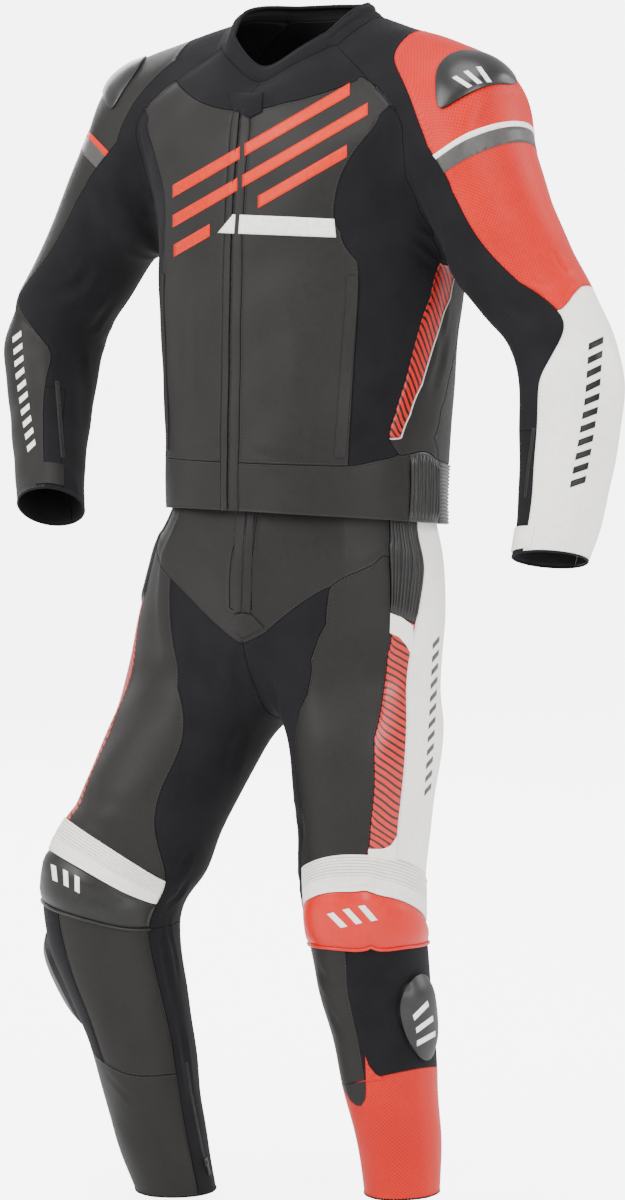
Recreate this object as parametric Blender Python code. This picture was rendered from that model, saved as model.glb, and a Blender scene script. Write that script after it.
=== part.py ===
"""Two-piece motorcycle race suit, worn form, modelled in Blender as one sewn solid per cut piece.

The jacket and the trousers are each laid out as one smooth skin of rings and columns.  Every seam
is a column or a ring of that skin.  The pieces between the seams are then thickened inwards and
drawn back from the seam line, so that neighbouring pieces stand a hair apart and never cross.
Sizes are in millimetres in the tables, metres in the scene.  +Z up, front towards -Y.
"""

import bpy
import numpy as np
from math import cos, radians, sin

MM = 0.001
WALL = 1.6              # leather or stretch cloth with its lining
SEAM_GAP = 0.3          # clear width of a seam between two pieces
JACKET_TURN = -7.0      # the jacket stands turned on the hips, degrees about Z
ZIP_HALF_WIDTH = 11.5   # tape and teeth of the front zip, from the centre line
COLLAR_HEIGHT = 15.0
COLLAR_LEAN = 0.87      # the collar's top edge against its seam
PAD_LIFT = 1.0          # applied pieces lie this far off the cloth

SIDES = (("left", 1), ("right", -1))


def table(names, *rows):
    """A sizes table: one dict of named columns for each row."""
    return [dict(zip(names.split(), row)) for row in rows]


# ---------------------------------------------------------------- jacket sizes
# Body rings, hem to underarm.  Angles run from the centre front round to the centre back.
TORSO = table(
    "z_front z_back half_width y_front y_back chest stripe_front stripe_back back_seam",
    (-545, -572, 176, -143, 133, 49.0, 72.0, 77.0, 98.0),      # hem
    (-491, -500, 178, -142, 133, 49.0, 72.0, 77.0, 98.0),      # waistband seam
    (-462, -466, 180, -141, 134, 49.0, 65.5, 71.0, 92.0),      # foot of the striped insert
    (-400, -402, 184, -140, 137, 49.0, 71.5, 80.5, 101.0),
    (-340, -341, 190, -138, 140, 48.5, 76.0, 87.5, 109.0),
    (-304, -304, 195, -137, 142, 48.0, 80.0, 94.0, 112.0),
    (-266, -266, 197, -135, 143, 47.0, 84.5, 100.0, 111.0),    # underarm
)
TORSO_RINGS = (0, 0.5, 1, 2, 2.5, 3, 3.5, 4, 5, 6)             # places in the table that get a ring
WAIST_SEAM_RING, INSERT_FOOT_RING = 2, 3
# The waistband's top seam climbs at the side: how far, by column of the body ring.
WAIST_CLIMB = table("column rise", (5, 0), (8, 16), (10, 18), (11.5, 24), (13, 9), (14, 0))

# Front above the underarm: centre line, chest seam and armhole (raglan) seam of the left half.
FRONT = table(
    "centre_y centre_z chest_x chest_y chest_z arm_x arm_y arm_z",
    (-135, -236, 128, -105, -234, 203, -24, -244),
    (-132, -202, 124, -108, -202, 194, -44, -206),
    (-129, -168, 132, -106, -170, 189, -64, -170),
    (-126, -138, 152, -97, -136, 192, -75, -128),
    (-122, -117, 175, -83, -103, 184, -78, -96),
    (-119, -98, 116, -84, -69, 135, -72, -60),                 # yoke seam
    (-104, -75, 92, -75, -47, 108, -64, -43),
    (-86, -53, 64, -68, -34, 80, -56, -25),                    # neck seam
)
YOKE_SEAM_ROW = 6
# Back above the underarm: centre line and armhole seam; share is where the back seam stands.
BACK = table(
    "centre_y centre_z arm_x arm_y arm_z share",
    (142, -228, 203, 47, -244, 0.12),
    (140, -186, 196, 72, -206, 0.22),
    (135, -144, 190, 88, -170, 0.32),
    (127, -104, 190, 92, -128, 0.40),
    (116, -68, 176, 86, -84, 0.43),
    (102, -36, 142, 74, -42, 0.43),
    (82, -13, 102, 60, -12, 0.43),
    (62, 9, 60, 47, 8, 0.43),                                  # neck seam
)
BACK_FULLNESS = 0.27    # how far the back falls away at its shoulder blades
SHOULDER_NECK = ((86, 22, 9), (94, -7, 5), (92, -31, -5))     # neck seam over the left shoulder
CHEST_COLUMNS, STRETCH_COLUMNS, INSERT_COLUMNS, SIDE_COLUMNS, BACK_COLUMNS = 4, 3, 2, 3, 4

# Sleeve rings from the shoulder cap to the cuff.  wide runs from the outer to the inner side of
# the arm, deep from front to back; roll lifts the outer side, pitch lifts the front, in degrees.
# front_seam is where the stretch cloth meets the leather, from the outer side towards the front.
SLEEVE = {
    "left": table(
        "x y z wide deep roll pitch front_seam",
        (241, 2, -161, 119, 76, 82, 0, 88),
        (261, 0, -204, 99, 71, 73, 0, 85),
        (287, 0, -254, 72, 66, 61, 0, 81),
        (320, 0, -300, 58, 62, 42, 0, 66),
        (352, 0, -343, 56, 61, 20, 3, 42),
        (370, -2, -390, 59, 59, 5, 8, 88),
        (373, -9, -440, 56, 55, 0, 11, 95),
        (378, -23, -496, 51, 50, 0, 13, 100),
        (380, -36, -546, 46, 46, 0, 14, 100),
        (378, -50, -586, 42, 44, 7, 15, 100)),
    "right": table(
        "x y z wide deep roll pitch front_seam",
        (243, 0, -151, 112, 76, 82, 0, 88),
        (276, 0, -187, 88, 71, 69, 0, 85),
        (309, 0, -233, 64, 65, 44, 0, 81),
        (344, 0, -289, 61, 60, 30, 0, 66),
        (376, 0, -331, 59, 60, 15, 3, 58),
        (395, -2, -377, 59, 59, 6, 10, 132),
        (386, -15, -424, 54, 55, -6, 20, 126),
        (363, -42, -472, 49, 50, -14, 27, 122),
        (337, -71, -517, 45, 46, -18, 29, 122),
        (311, -98, -556, 43, 44, -18, 29, 122)),
}
SLEEVE_COLUMNS = 22
OUTER, FRONT_SEAM, INNER, BACK_SEAM = 20, 3, 9, 15             # sleeve columns by name
BACK_SEAM_ANGLE = 272
CAP_SHARE = {20: 0.33, 21: 0.35, 0: 0.40, 1: 0.47, 2: 0.60, 3: 0.78, 4: 0.62, 5: 0.52, 6: 0.50,
             12: 0.50, 13: 0.52, 14: 0.62, 15: 0.78, 16: 0.60, 17: 0.47, 18: 0.40, 19: 0.35}
ELBOW_SHARE = {3: 0.82, 2: 0.74, 1: 0.66, 0: 0.56, 21: 0.48, 20: 0.40, 19: 0.36, 18: 0.34,
               17: 0.34, 16: 0.38, 15: 0.46}
SLEEVE_RINGS = ("cap", "cap_out", 1, 1.33, 1.66, 2, 3, 4, "elbow", 5.3, 6, 6.6, 7.3, 8, 9, 10)
GUSSET_FROM, GUSSET_COLUMNS = 7.3, 3

# ---------------------------------------------------------------- trousers sizes
# Hip outline at each height; cleft draws the centre line in towards the crotch.
HIP = table(
    "z x half_left half_right y_front y_back cleft",
    (-478, 0, 150, 150, -118, 104, 0),
    (-530, 0, 155, 155, -123, 109, 0),
    (-572, -3, 162, 169, -132, 117, 0),
    (-600, -8, 173, 184, -133, 123, 0),
    (-640, -12, 179, 196, -128, 126, 0),
    (-690, -17, 184, 207, -121, 123, 8),
    (-730, -20, 186, 214, -115, 113, 22),
    (-765, -20, 187, 222, -110, 101, 42),
)
HIP_ROWS = table(       # heights of each ring, and angles of its seams, by column from the fly
    "centre fly inner mid outer rib back fly_at inner_at outer_at rib_at side_at",
    (-478, -478, -478, -478, -478, -478, -478, 4, 38, 65, 83, 118),
    (-530, -530, -530, -530, -530, -530, -530, 4, 38, 65, 83, 118),
    (-568, -568, -566, -563, -560, -560, -564, 4, 38, 65, 83, 118),
    (-618, -616, -592, -580, -574, -580, -602, 4, 38, 65, 83, 118),
    (-668, -664, -606, -591, -580, -604, -640, 4, 38, 64, 83, 118),
    (-694, -688, -620, -603, -588, -630, -675, 6, 38, 63, 81, 118),   # foot of the yoke
    (-722, -716, -668, -666, -664, -674, -708, 8, 35, 62, 75, 116),   # foot of the hip rib
    (-745, -740, -712, -708, -706, -710, -738, 10, 29, 60, 71, 114),
    (-765, -758, -748, -746, -746, -748, -768, 12, 26, 58, 69, 112),
)
YOKE_ROW, RIB_FOOT_ROW, FLY_FOOT_ROW = 5, 6, 4
CROTCH = ((-20, 38, -786), (-20, -14, -792), (-20, -48, -784))        # back to front
# Leg columns from the centre front round the outer side to the centre back, then the crotch.
FLY, INNER_SEAM, OUTER_SEAM, RIB_SEAM, SIDE_SEAM, CENTRE_BACK, LEG_COLUMNS = 0, 2, 6, 8, 12, 16, 20
LEG_NAMES = "x y z wide deep arch arch_at inner_at outer_at rib_at side_at front_at back_at"
LEG = {
    "left": table(
        LEG_NAMES,
        (86, -15, -800, 86, 99, 0, 0, 121, 49, 25, -50, 150, 225),
        (87, -20, -850, 80, 93, 0, 0, 119, 46, 24, -50, 150, 225),
        (88, -22, -905, 74, 85, 14, 60, 122, 49, 25, -48, 152, 226),
        (87, -24, -966, 70, 80, 38, 62, 130, 50, 25, -45, 156, 228),  # top of the knee rib
        (90, -26, -1012, 66, 80, 44, 68, 137, 62, 28, -40, 162, 232), # top of the knee guard
        (96, -24, -1041, 64, 75, 0, 95, 146, 78, 26, -35, 168, 235), # foot of the knee guard
        (101, -18, -1100, 61, 72, 0, 0, 155, 82, 28, -35, 172, 238),
        (107, -8, -1152, 54, 69, 10, 20, 158, 82, 28, -35, 174, 238),
        (110, -2, -1201, 51, 65, 20, 20, 158, 84, 28, -35, 174, 238), # shin seam
        (112, 4, -1238, 48.5, 60, 8, 20, 158, 82, 28, -35, 174, 238),
        (116, 13, -1286, 45.5, 54, 0, 0, 158, 82, 28, -35, 174, 238),
        (115, 19, -1336, 42, 50, 0, 0, 158, 82, 28, -35, 174, 238)),
    "right": table(
        LEG_NAMES,
        (142, -30, -812, 97, 104, 0, 0, 121, 47, 24, -50, 150, 225),
        (154, -53, -858, 94, 98, 0, 0, 119, 46, 24, -50, 150, 225),
        (168, -74, -908, 85, 87, 18, 50, 126, 49, 25, -48, 154, 226),
        (183, -84, -962, 80, 84, 54, 45, 152, 50, 25, -45, 168, 230), # top of the knee rib
        (203, -94, -990, 80, 83, 46, 45, 160, 62, 28, -40, 174, 235), # top of the knee guard
        (210, -98, -1027, 80, 81, 16, 30, 158, 76, 26, -35, 174, 236), # foot of the knee guard
        (201, -96, -1085, 77, 76, 6, 30, 160, 78, 28, -35, 176, 238),
        (186, -88, -1145, 70, 70, 16, 10, 162, 78, 28, -35, 177, 238),
        (176, -82, -1196, 64, 65, 26, 0, 162, 80, 28, -35, 177, 238), # shin seam
        (169, -77, -1238, 58, 59, 12, 0, 162, 82, 28, -35, 177, 238),
        (160, -68, -1292, 54, 54, 0, 0, 160, 82, 28, -35, 177, 238),
        (149, -56, -1350, 47, 50, 0, 0, 160, 82, 28, -35, 177, 238)),
}
LEG_RINGS = (1, 2, 3, 3.5, 4, 5, 6, 6.5, 7, 8, 9, 10, 11, 12)
RIB_TOP, GUARD_TOP, GUARD_FOOT, SHIN_SEAM = 4, 5, 6, 9

# Ribbed (accordion) pieces: how many ribs, and how high each stands.
HIP_RIBS, HIP_RIB_HEIGHT = 10, 2.6
WAIST_RIBS, WAIST_RIB_HEIGHT = 9, 2.2
BACK_RIBS, BACK_RIB_HEIGHT = 17, 1.6
KNEE_RIBS, KNEE_RIB_HEIGHT = 8, 2.0
GUARD_SWELL = 5.0       # how far the padded knee guard stands out of its seams

# Colours and roughness by piece; a pair is (left, right).
CHARCOAL, BLACK, RED, WHITE = (0.055, 0.052, 0.048), (0.012, 0.012, 0.014), (0.9, 0.09, 0.045), (0.8, 0.8, 0.78)
LOOKS = {
    "collar": (BLACK, 0.8), "yoke": (BLACK, 0.8), "chest": (CHARCOAL, 0.5), "zip_front": (BLACK, 0.45),
    "side_stretch": (BLACK, 0.85), "side_insert": (RED, 0.5), "back_side": (CHARCOAL, 0.5),
    "back": (CHARCOAL, 0.5), "waistband": (CHARCOAL, 0.5), "waist_rib": (CHARCOAL, 0.6),
    "waist_back": (CHARCOAL, 0.6), "pocket_welt": (CHARCOAL, 0.5), "sleeve_stretch": (BLACK, 0.85),
    "shoulder": ((RED, CHARCOAL), 0.5), "shoulder_guard": (BLACK, 0.35),
    "forearm": ((WHITE, CHARCOAL), 0.5), "cuff_gusset": (BLACK, 0.85), "cuff_tab": ((WHITE, CHARCOAL), 0.5),
    "hip_front": (CHARCOAL, 0.5), "fly_zip": (BLACK, 0.45), "thigh_stretch": (BLACK, 0.85),
    "thigh": (CHARCOAL, 0.5), "hip_rib": (CHARCOAL, 0.6), "side_panel": ((WHITE, CHARCOAL), 0.5),
    "thigh_insert": (RED, 0.5), "seat": (CHARCOAL, 0.5), "knee_rib": (WHITE, 0.5),
    "knee_guard": ((RED, BLACK), 0.5), "slider_patch": (BLACK, 0.9), "knee_slider": (BLACK, 0.3),
    "shin_upper": (CHARCOAL, 0.5), "shin": ((RED, CHARCOAL), 0.5), "calf": (BLACK, 0.85),
}


# ---------------------------------------------------------------- curves
def spline(knots, values, at):
    """A smooth curve through values (a row for each knot), read at the given places."""
    knots, values = np.asarray(knots, float), np.asarray(values, float)
    at = np.clip(np.asarray(at, float), knots[0], knots[-1])
    gap = np.diff(knots)
    rise = np.diff(values, axis=0) / gap[:, None]
    slope = np.empty_like(values)
    if len(knots) == 2:
        slope[:] = rise[0]
    else:
        slope[1:-1] = (rise[:-1] * gap[1:, None] + rise[1:] * gap[:-1, None]) / (gap[:-1] + gap[1:])[:, None]
        slope[0] = 1.5 * rise[0] - 0.5 * slope[1]
        slope[-1] = 1.5 * rise[-1] - 0.5 * slope[-2]
    i = np.clip(np.searchsorted(knots, at, side="right") - 1, 0, len(gap) - 1)
    h = gap[i][:, None]
    t = ((at - knots[i])[:, None]) / h
    return ((2 * t**3 - 3 * t**2 + 1) * values[i] + (t**3 - 2 * t**2 + t) * h * slope[i]
            + (3 * t**2 - 2 * t**3) * values[i + 1] + (t**3 - t**2) * h * slope[i + 1])


def read(rows, name, place):
    """One named column of a table, read smoothly at a place between its rows."""
    return float(spline(range(len(rows)), [[row[name]] for row in rows], [place])[0, 0])


def through(points, shares):
    """Points at shares of the chord length along a smooth curve through the given points."""
    points = np.asarray(points, float)
    length = np.concatenate([[0], np.cumsum(np.linalg.norm(np.diff(points, axis=0), axis=1))])
    return spline(length, points, np.asarray(shares) * length[-1]), length / length[-1]


def steps(start, end, count):
    """count + 1 even values from start to end."""
    return [start + (end - start) * i / count for i in range(count + 1)]


# ---------------------------------------------------------------- the skin
class Skin:
    """One garment as a sheet of quads; each quad belongs to a named piece."""

    def __init__(self, turn=0.0):
        self.points, self.faces, self.pieces = [], [], []
        self.turn = turn

    def add(self, x, y, z):
        c, s = cos(radians(self.turn)), sin(radians(self.turn))
        self.points.append((c * x - s * y, s * x + c * y, z))
        return len(self.points) - 1

    def quad(self, a, b, c, d, piece, flip=False):
        self.faces.append((d, c, b, a) if flip else (a, b, c, d))
        self.pieces.append(piece)

    def finish(self):
        """Vertex positions and smooth outward normals."""
        self.at = np.array(self.points)
        self.normal = np.zeros_like(self.at)
        for face in self.faces:
            a, b, c, d = self.at[list(face)]
            for index in face:
                self.normal[index] += np.cross(c - a, d - b)
        self.normal /= np.linalg.norm(self.normal, axis=1)[:, None]


def drawn_back(skin, faces):
    """Outer points of a piece, its edge drawn back half a seam gap within the surface."""
    at = {v: skin.at[v].copy() for face in faces for v in face}
    edges = {}
    for face in faces:
        for a, b in zip(face, face[1:] + face[:1]):
            edges[(a, b)] = face
    rim = [edge for edge in edges if edge[::-1] not in edges]
    pull = {}
    for a, b in rim:
        along = skin.at[b] - skin.at[a]
        across = np.cross(skin.normal[a] + skin.normal[b], along)
        across /= np.linalg.norm(across)
        for v in (a, b):
            pull.setdefault(v, []).append(across)
    for v, ways in pull.items():
        way = sum(ways)
        length = np.linalg.norm(way)
        way /= length
        at[v] += way * (SEAM_GAP / 2) / max(0.35, length / len(ways))
    return at, rim


def cut_edge(a, b, under_a, under_b, from_a):
    """Two triangles of a cut edge, split the same way on both sides of a seam."""
    if from_a:
        return [[b, a, under_b], [a, under_a, under_b]]
    return [[b, a, under_a], [b, under_a, under_b]]


def split_quad(at, face):
    """A quad as two triangles along its shorter diagonal, so that a wall's two sides bend alike."""
    a, b, c, d = face
    if np.linalg.norm(at[a] - at[c]) <= np.linalg.norm(at[b] - at[d]):
        return [(a, b, c), (a, c, d)]
    return [(a, b, d), (b, c, d)]


def cut_piece(skin, faces, wall=WALL, swell=0.0):
    """A closed solid from the faces of one piece: its outside, its inside and its cut edge."""
    at, rim = drawn_back(skin, faces)
    edge = {v for pair in rim for v in pair}
    order = sorted(at)
    place = {v: i for i, v in enumerate(order)}
    outer = [at[v] + skin.normal[v] * (0.0 if v in edge else swell) for v in order]
    inner = [at[v] - skin.normal[v] * wall for v in order]
    n = len(order)
    halves = [half for face in faces for half in split_quad(at, face)]
    polygons = [[place[v] for v in half] for half in halves]
    polygons += [[place[v] + n for v in reversed(half)] for half in halves]
    for a, b in rim:
        polygons += cut_edge(place[a], place[b], place[a] + n, place[b] + n, a < b)
    return outer + inner, polygons


def ribbed_piece(skin, grid, ribs, height, along_rows, wall=WALL, flip=False):
    """A piece with raised ribs on its outer face over a plain inside.

    grid holds the skin's vertex numbers, row by row.  The ribs run along the rows, or across them.
    """
    grid = np.array(grid)
    if along_rows:
        grid, flip = grid.T, not flip
    rows, cols = grid.shape
    faces = [(grid[i, j], grid[i, j + 1], grid[i + 1, j + 1], grid[i + 1, j])
             for i in range(rows - 1) for j in range(cols - 1)]
    if flip:
        faces = [face[::-1] for face in faces]
    faces = [tuple(int(v) for v in face) for face in faces]
    at, _ = drawn_back(skin, faces)
    split = max(2, int(round(2 * ribs / (cols - 1))))
    points, polygons = [], []

    def add(p):
        points.append(p)
        return len(points) - 1

    outer = np.zeros((rows, (cols - 1) * split + 1), int)
    for i in range(rows):
        for line in range(outer.shape[1]):
            j, f = divmod(line, split)
            a, b = grid[i, j], grid[i, min(j + 1, cols - 1)]
            f /= split
            p = at[a] * (1 - f) + at[b] * f
            n = skin.normal[a] * (1 - f) + skin.normal[b] * f
            on_rim = i in (0, rows - 1) or line in (0, outer.shape[1] - 1)
            outer[i, line] = add(p + n * (height if line % 2 and not on_rim else 0.0))
    inner = np.array([[add(at[v] - skin.normal[v] * wall) for v in row] for row in grid])
    for i in range(rows - 1):
        for line in range(outer.shape[1] - 1):
            polygons.append([outer[i, line], outer[i, line + 1], outer[i + 1, line + 1], outer[i + 1, line]])
        for j in range(cols - 1):
            polygons.append([inner[i + 1, j], inner[i + 1, j + 1], inner[i, j + 1], inner[i, j]])
    for i, turned in ((0, False), (rows - 1, True)):
        for j in range(cols - 1):
            a, b, half = inner[i, j], inner[i, j + 1], split // 2
            chain = outer[i, j * split:(j + 1) * split + 1]
            fan = [[a, chain[k + 1], chain[k]] if k < half else [b, chain[k + 1], chain[k]] for k in range(split)]
            fan.append([a, b, chain[half]])
            polygons += [f[::-1] for f in fan] if turned else fan
    for line, j, turned in ((0, 0, True), (outer.shape[1] - 1, cols - 1, False)):
        for i in range(rows - 1):
            split_at = grid[i, j] < grid[i + 1, j]
            side = cut_edge(outer[i, line], outer[i + 1, line], inner[i, j], inner[i + 1, j], split_at)
            polygons += [f[::-1] for f in side] if turned else side
    if flip:
        polygons = [p[::-1] for p in polygons]
    return points, [[int(v) for v in p] for p in polygons]


def on_grid(skin, grid, u, v):
    """Point and normal of the skin at row u and column v of a grid, both fractional."""
    rows, cols = grid.shape
    i, j = min(int(u), rows - 2), min(int(v), cols - 2)
    near_rows = range(max(0, i - 1), min(rows, i + 3))
    near_cols = range(max(0, j - 1), min(cols, j + 3))
    both = np.concatenate([skin.at, skin.normal], axis=1)
    across = [spline(near_cols, [both[grid[a, b]] for b in near_cols], [v])[0] for a in near_rows]
    p = spline(near_rows, across, [u])[0]
    return p[:3], p[3:] / np.linalg.norm(p[3:])


def ranged(ends, along, across):
    """A place in a range (or in two ranges blended across), for along and across from -1 to 1."""
    low, high = np.array(ends if np.ndim(ends) == 2 else (ends, ends), float)
    start, end = low + (high - low) * (across + 1) / 2
    return (start + end) / 2 + along * (end - start) / 2


def laid_on(skin, grid, u_range, v_range, count, thick, lift=PAD_LIFT, rounded=False, crown=0.0, rim=1.0):
    """A piece that lies on the skin: a strip, or with rounded a crowned oval with a thinner rim.

    Each range is two numbers, or two such pairs, for the two ends of the other direction.
    """
    nu, nv = count
    grid = np.array(grid)
    low, high = np.zeros((nu + 1, nv + 1), int), np.zeros((nu + 1, nv + 1), int)
    points, polygons = [], []
    for i in range(nu + 1):
        for j in range(nv + 1):
            s, t = 2 * i / nu - 1, 2 * j / nv - 1
            out = max(abs(s), abs(t))
            if rounded:
                s, t = s * (1 - t * t / 2) ** 0.5, t * (1 - s * s / 2) ** 0.5
            u, v = ranged(u_range, s, t), ranged(v_range, t, s)
            p, n = on_grid(skin, grid, u, v)
            top = thick + crown * (1 - out**3) if rounded else thick
            points += [p + n * lift, p + n * (lift + (top if out < 0.999 else thick * rim))]
            low[i, j], high[i, j] = len(points) - 2, len(points) - 1
    for i in range(nu):
        for j in range(nv):
            polygons.append([high[i, j], high[i, j + 1], high[i + 1, j + 1], high[i + 1, j]])
            polygons.append([low[i + 1, j], low[i + 1, j + 1], low[i, j + 1], low[i, j]])
    loop = [(0, j) for j in range(nv)] + [(i, nv) for i in range(nu)]
    loop += [(nu, j) for j in range(nv, 0, -1)] + [(i, 0) for i in range(nu, 0, -1)]
    for a, b in zip(loop, loop[1:] + loop[:1]):
        polygons.append([low[a], low[b], high[b], high[a]])
    return points, [[int(v) for v in p] for p in polygons]


# ---------------------------------------------------------------- the scene
def clear_scene():
    for thing in list(bpy.data.objects):
        bpy.data.objects.remove(thing, do_unlink=True)


def material_of(name, colour, roughness):
    material = bpy.data.materials.new(name)
    material.use_nodes = True
    shader = material.node_tree.nodes["Principled BSDF"]
    shader.inputs["Base Color"].default_value = (*colour, 1.0)
    shader.inputs["Roughness"].default_value = roughness
    shader.inputs["Metallic"].default_value = 0.0
    return material


def solid(collection, name, piece):
    """Make the named object from its points and polygons, faces turned outwards."""
    points, polygons = piece
    points = np.array(points) * MM
    volume = 0.0
    for polygon in polygons:
        for b, c in zip(polygon[1:-1], polygon[2:]):
            volume += np.dot(points[polygon[0]], np.cross(points[b], points[c]))
    if volume < 0:
        polygons = [polygon[::-1] for polygon in polygons]
    mesh = bpy.data.meshes.new(name)
    mesh.from_pydata([tuple(p) for p in points], [], polygons)
    mesh.validate()
    thing = bpy.data.objects.new(name, mesh)
    collection.objects.link(thing)
    kind = name.rsplit("_", 1)[0] if name.rsplit("_", 1)[-1] in ("left", "right") else name
    colour, roughness = LOOKS[kind]
    if isinstance(colour[0], tuple):
        colour = colour[0 if name.endswith("left") else 1]
    mesh.materials.append(material_of(name, colour, roughness))
    return thing


# ---------------------------------------------------------------- jacket
def torso_angles(place):
    """Angles of the body's columns from the centre front to the centre back at one ring."""
    at = {name: read(TORSO, name, place)
          for name in ("half_width", "chest", "stripe_front", "stripe_back", "back_seam")}
    zip_edge = ZIP_HALF_WIDTH / at["half_width"] * 57.3
    return ([0.0] + steps(zip_edge, at["chest"], CHEST_COLUMNS)
            + steps(at["chest"], at["stripe_front"], STRETCH_COLUMNS)[1:]
            + steps(at["stripe_front"], at["stripe_back"], INSERT_COLUMNS)[1:]
            + steps(at["stripe_back"], at["back_seam"], SIDE_COLUMNS)[1:]
            + steps(at["back_seam"], 180.0, BACK_COLUMNS)[1:])


def torso_point(place, angle, side, rise=0.0):
    front, back = read(TORSO, "y_front", place), read(TORSO, "y_back", place)
    z_front, z_back = read(TORSO, "z_front", place), read(TORSO, "z_back", place)
    turn = radians(angle)
    return (side * read(TORSO, "half_width", place) * sin(turn),
            (front + back) / 2 - (back - front) / 2 * cos(turn),
            z_front + (z_back - z_front) * (1 - cos(turn)) / 2 + rise)


def front_row(row):
    """The left half of one front row: centre, zip edge, chest and stretch columns, armhole."""
    arm = np.array([row["arm_x"], row["arm_y"], row["arm_z"]], float)
    chest = np.array([row["chest_x"], row["chest_y"], row["chest_z"]], float)
    centre = np.array([0, row["centre_y"], row["centre_z"]], float)
    flip = np.array([-1, 1, 1])
    _, share = through([arm * flip, chest * flip, centre, chest, arm], [0])
    zip_at = 0.5 + (share[3] - 0.5) * ZIP_HALF_WIDTH / np.linalg.norm(chest - centre)
    wanted = [0.5] + steps(zip_at, share[3], CHEST_COLUMNS) + steps(share[3], 1.0, STRETCH_COLUMNS)[1:]
    return through([arm * flip, chest * flip, centre, chest, arm], wanted)[0]


def back_row(row):
    """The left half of one back row from the armhole to the centre back."""
    arm = np.array([row["arm_x"], row["arm_y"], row["arm_z"]], float)
    centre = np.array([0, row["centre_y"], row["centre_z"]], float)
    blade = arm * 0.6 + centre * 0.4
    blade[1] = centre[1] - BACK_FULLNESS * (centre[1] - arm[1])
    flip = np.array([-1, 1, 1])
    wanted = steps(0.0, row["share"] * 0.5, SIDE_COLUMNS)
    wanted += steps(row["share"] * 0.5, 0.5, BACK_COLUMNS)[1:]
    return through([arm, blade, centre, blade * flip, arm * flip], wanted)[0]


def build_jacket():
    skin = Skin(JACKET_TURN)
    half = 1 + CHEST_COLUMNS + STRETCH_COLUMNS + INSERT_COLUMNS + SIDE_COLUMNS + BACK_COLUMNS
    chest = 1 + CHEST_COLUMNS
    arm_front = chest + STRETCH_COLUMNS
    arm_back = arm_front + INSERT_COLUMNS
    back_seam = arm_back + SIDE_COLUMNS
    # Body rings, one list of columns for each side, both from the centre front to the centre back.
    body = {"left": [], "right": []}
    for place in TORSO_RINGS:
        angles = torso_angles(place)
        climb = np.interp(range(len(angles)), *zip(*(row.values() for row in WAIST_CLIMB))) * (place == 1)
        left = [skin.add(*torso_point(place, a, 1, rise)) for a, rise in zip(angles, climb)]
        right = [skin.add(*torso_point(place, a, -1, rise)) for a, rise in zip(angles[1:-1], climb[1:-1])]
        body["left"].append(left)
        body["right"].append([left[0]] + right + [left[-1]])
    top = len(TORSO_RINGS) - 1
    # Front and back above the underarm.
    upper = {name: {"front": [body[name][top][:arm_front + 1]], "back": [body[name][top][arm_back:]]}
             for name, _ in SIDES}
    for row in FRONT:
        points = front_row(row)
        centre = skin.add(*points[0])
        for name, side in SIDES:
            upper[name]["front"].append([centre] + [skin.add(side * x, y, z) for x, y, z in points[1:]])
    for row in BACK:
        points = back_row(row)
        centre = skin.add(*points[-1])
        for name, side in SIDES:
            upper[name]["back"].append([skin.add(side * x, y, z) for x, y, z in points[:-1]] + [centre])

    grids = {}
    for name, side in SIDES:
        flip = side < 0
        rows = body[name]
        for i in range(top):
            for j in range(half):
                band = i < WAIST_SEAM_RING
                if j < 1:
                    piece = "zip_front"
                elif j < (arm_back if band else chest):
                    piece = ("waistband_" if band else "chest_") + name
                elif j < arm_front:
                    piece = "side_stretch_" + name
                elif j < arm_back and i >= INSERT_FOOT_RING:
                    piece = "side_insert_" + name
                elif j < back_seam:
                    piece = ("waist_rib_" if band else "back_side_") + name
                else:
                    piece = "waist_back" if band else "back"
                skin.quad(rows[i][j], rows[i][j + 1], rows[i + 1][j + 1], rows[i + 1][j], piece, flip)
        front, back = upper[name]["front"], upper[name]["back"]
        for i in range(len(FRONT)):
            for j in range(arm_front):
                if j < 1:
                    piece = "zip_front" if i < YOKE_SEAM_ROW else "yoke_" + name
                elif i >= YOKE_SEAM_ROW:
                    piece = "yoke_" + name
                else:
                    piece = "side_stretch_" + name if j >= chest and i < 5 else "chest_" + name
                skin.quad(front[i][j], front[i][j + 1], front[i + 1][j + 1], front[i + 1][j], piece, flip)
        for i in range(len(BACK)):
            for j in range(half - arm_back):
                skin.quad(back[i][j], back[i][j + 1], back[i + 1][j + 1], back[i + 1][j], "back", flip)
        # Armhole: down the front seam, under the arm, up the back seam, over the shoulder.
        neck = [skin.add(side * x, y, z) for x, y, z in SHOULDER_NECK]
        ring = [row[-1] for row in reversed(front)] + [body[name][top][arm_front + 1]]
        ring += [row[0] for row in back] + neck
        grids[name] = {"front": front, "back": back, "body": rows, "neck": neck,
                       "sleeve": build_sleeve(skin, name, side, ring)}
    # Collar: the neck seam right round, then two rings above it.
    left, right = grids["left"], grids["right"]
    neck = left["front"][-1] + left["neck"][::-1] + left["back"][-1]
    neck += right["back"][-1][:-1][::-1] + right["neck"] + right["front"][-1][1:][::-1]
    rings = [neck]
    for share in (0.55, 1.0):
        ring = []
        for v in neck:
            x, y, z = skin.points[v]
            lean = 1 - (1 - COLLAR_LEAN) * share**1.5
            skin.points.append((x * lean, (y + 12) * lean - 12, z + COLLAR_HEIGHT * share))
            ring.append(len(skin.points) - 1)
        rings.append(ring)
    for low, high in zip(rings, rings[1:]):
        for j in range(len(neck)):
            k = (j + 1) % len(neck)
            skin.quad(low[j], low[k], high[k], high[j], "collar")
    skin.finish()
    return skin, grids


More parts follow.
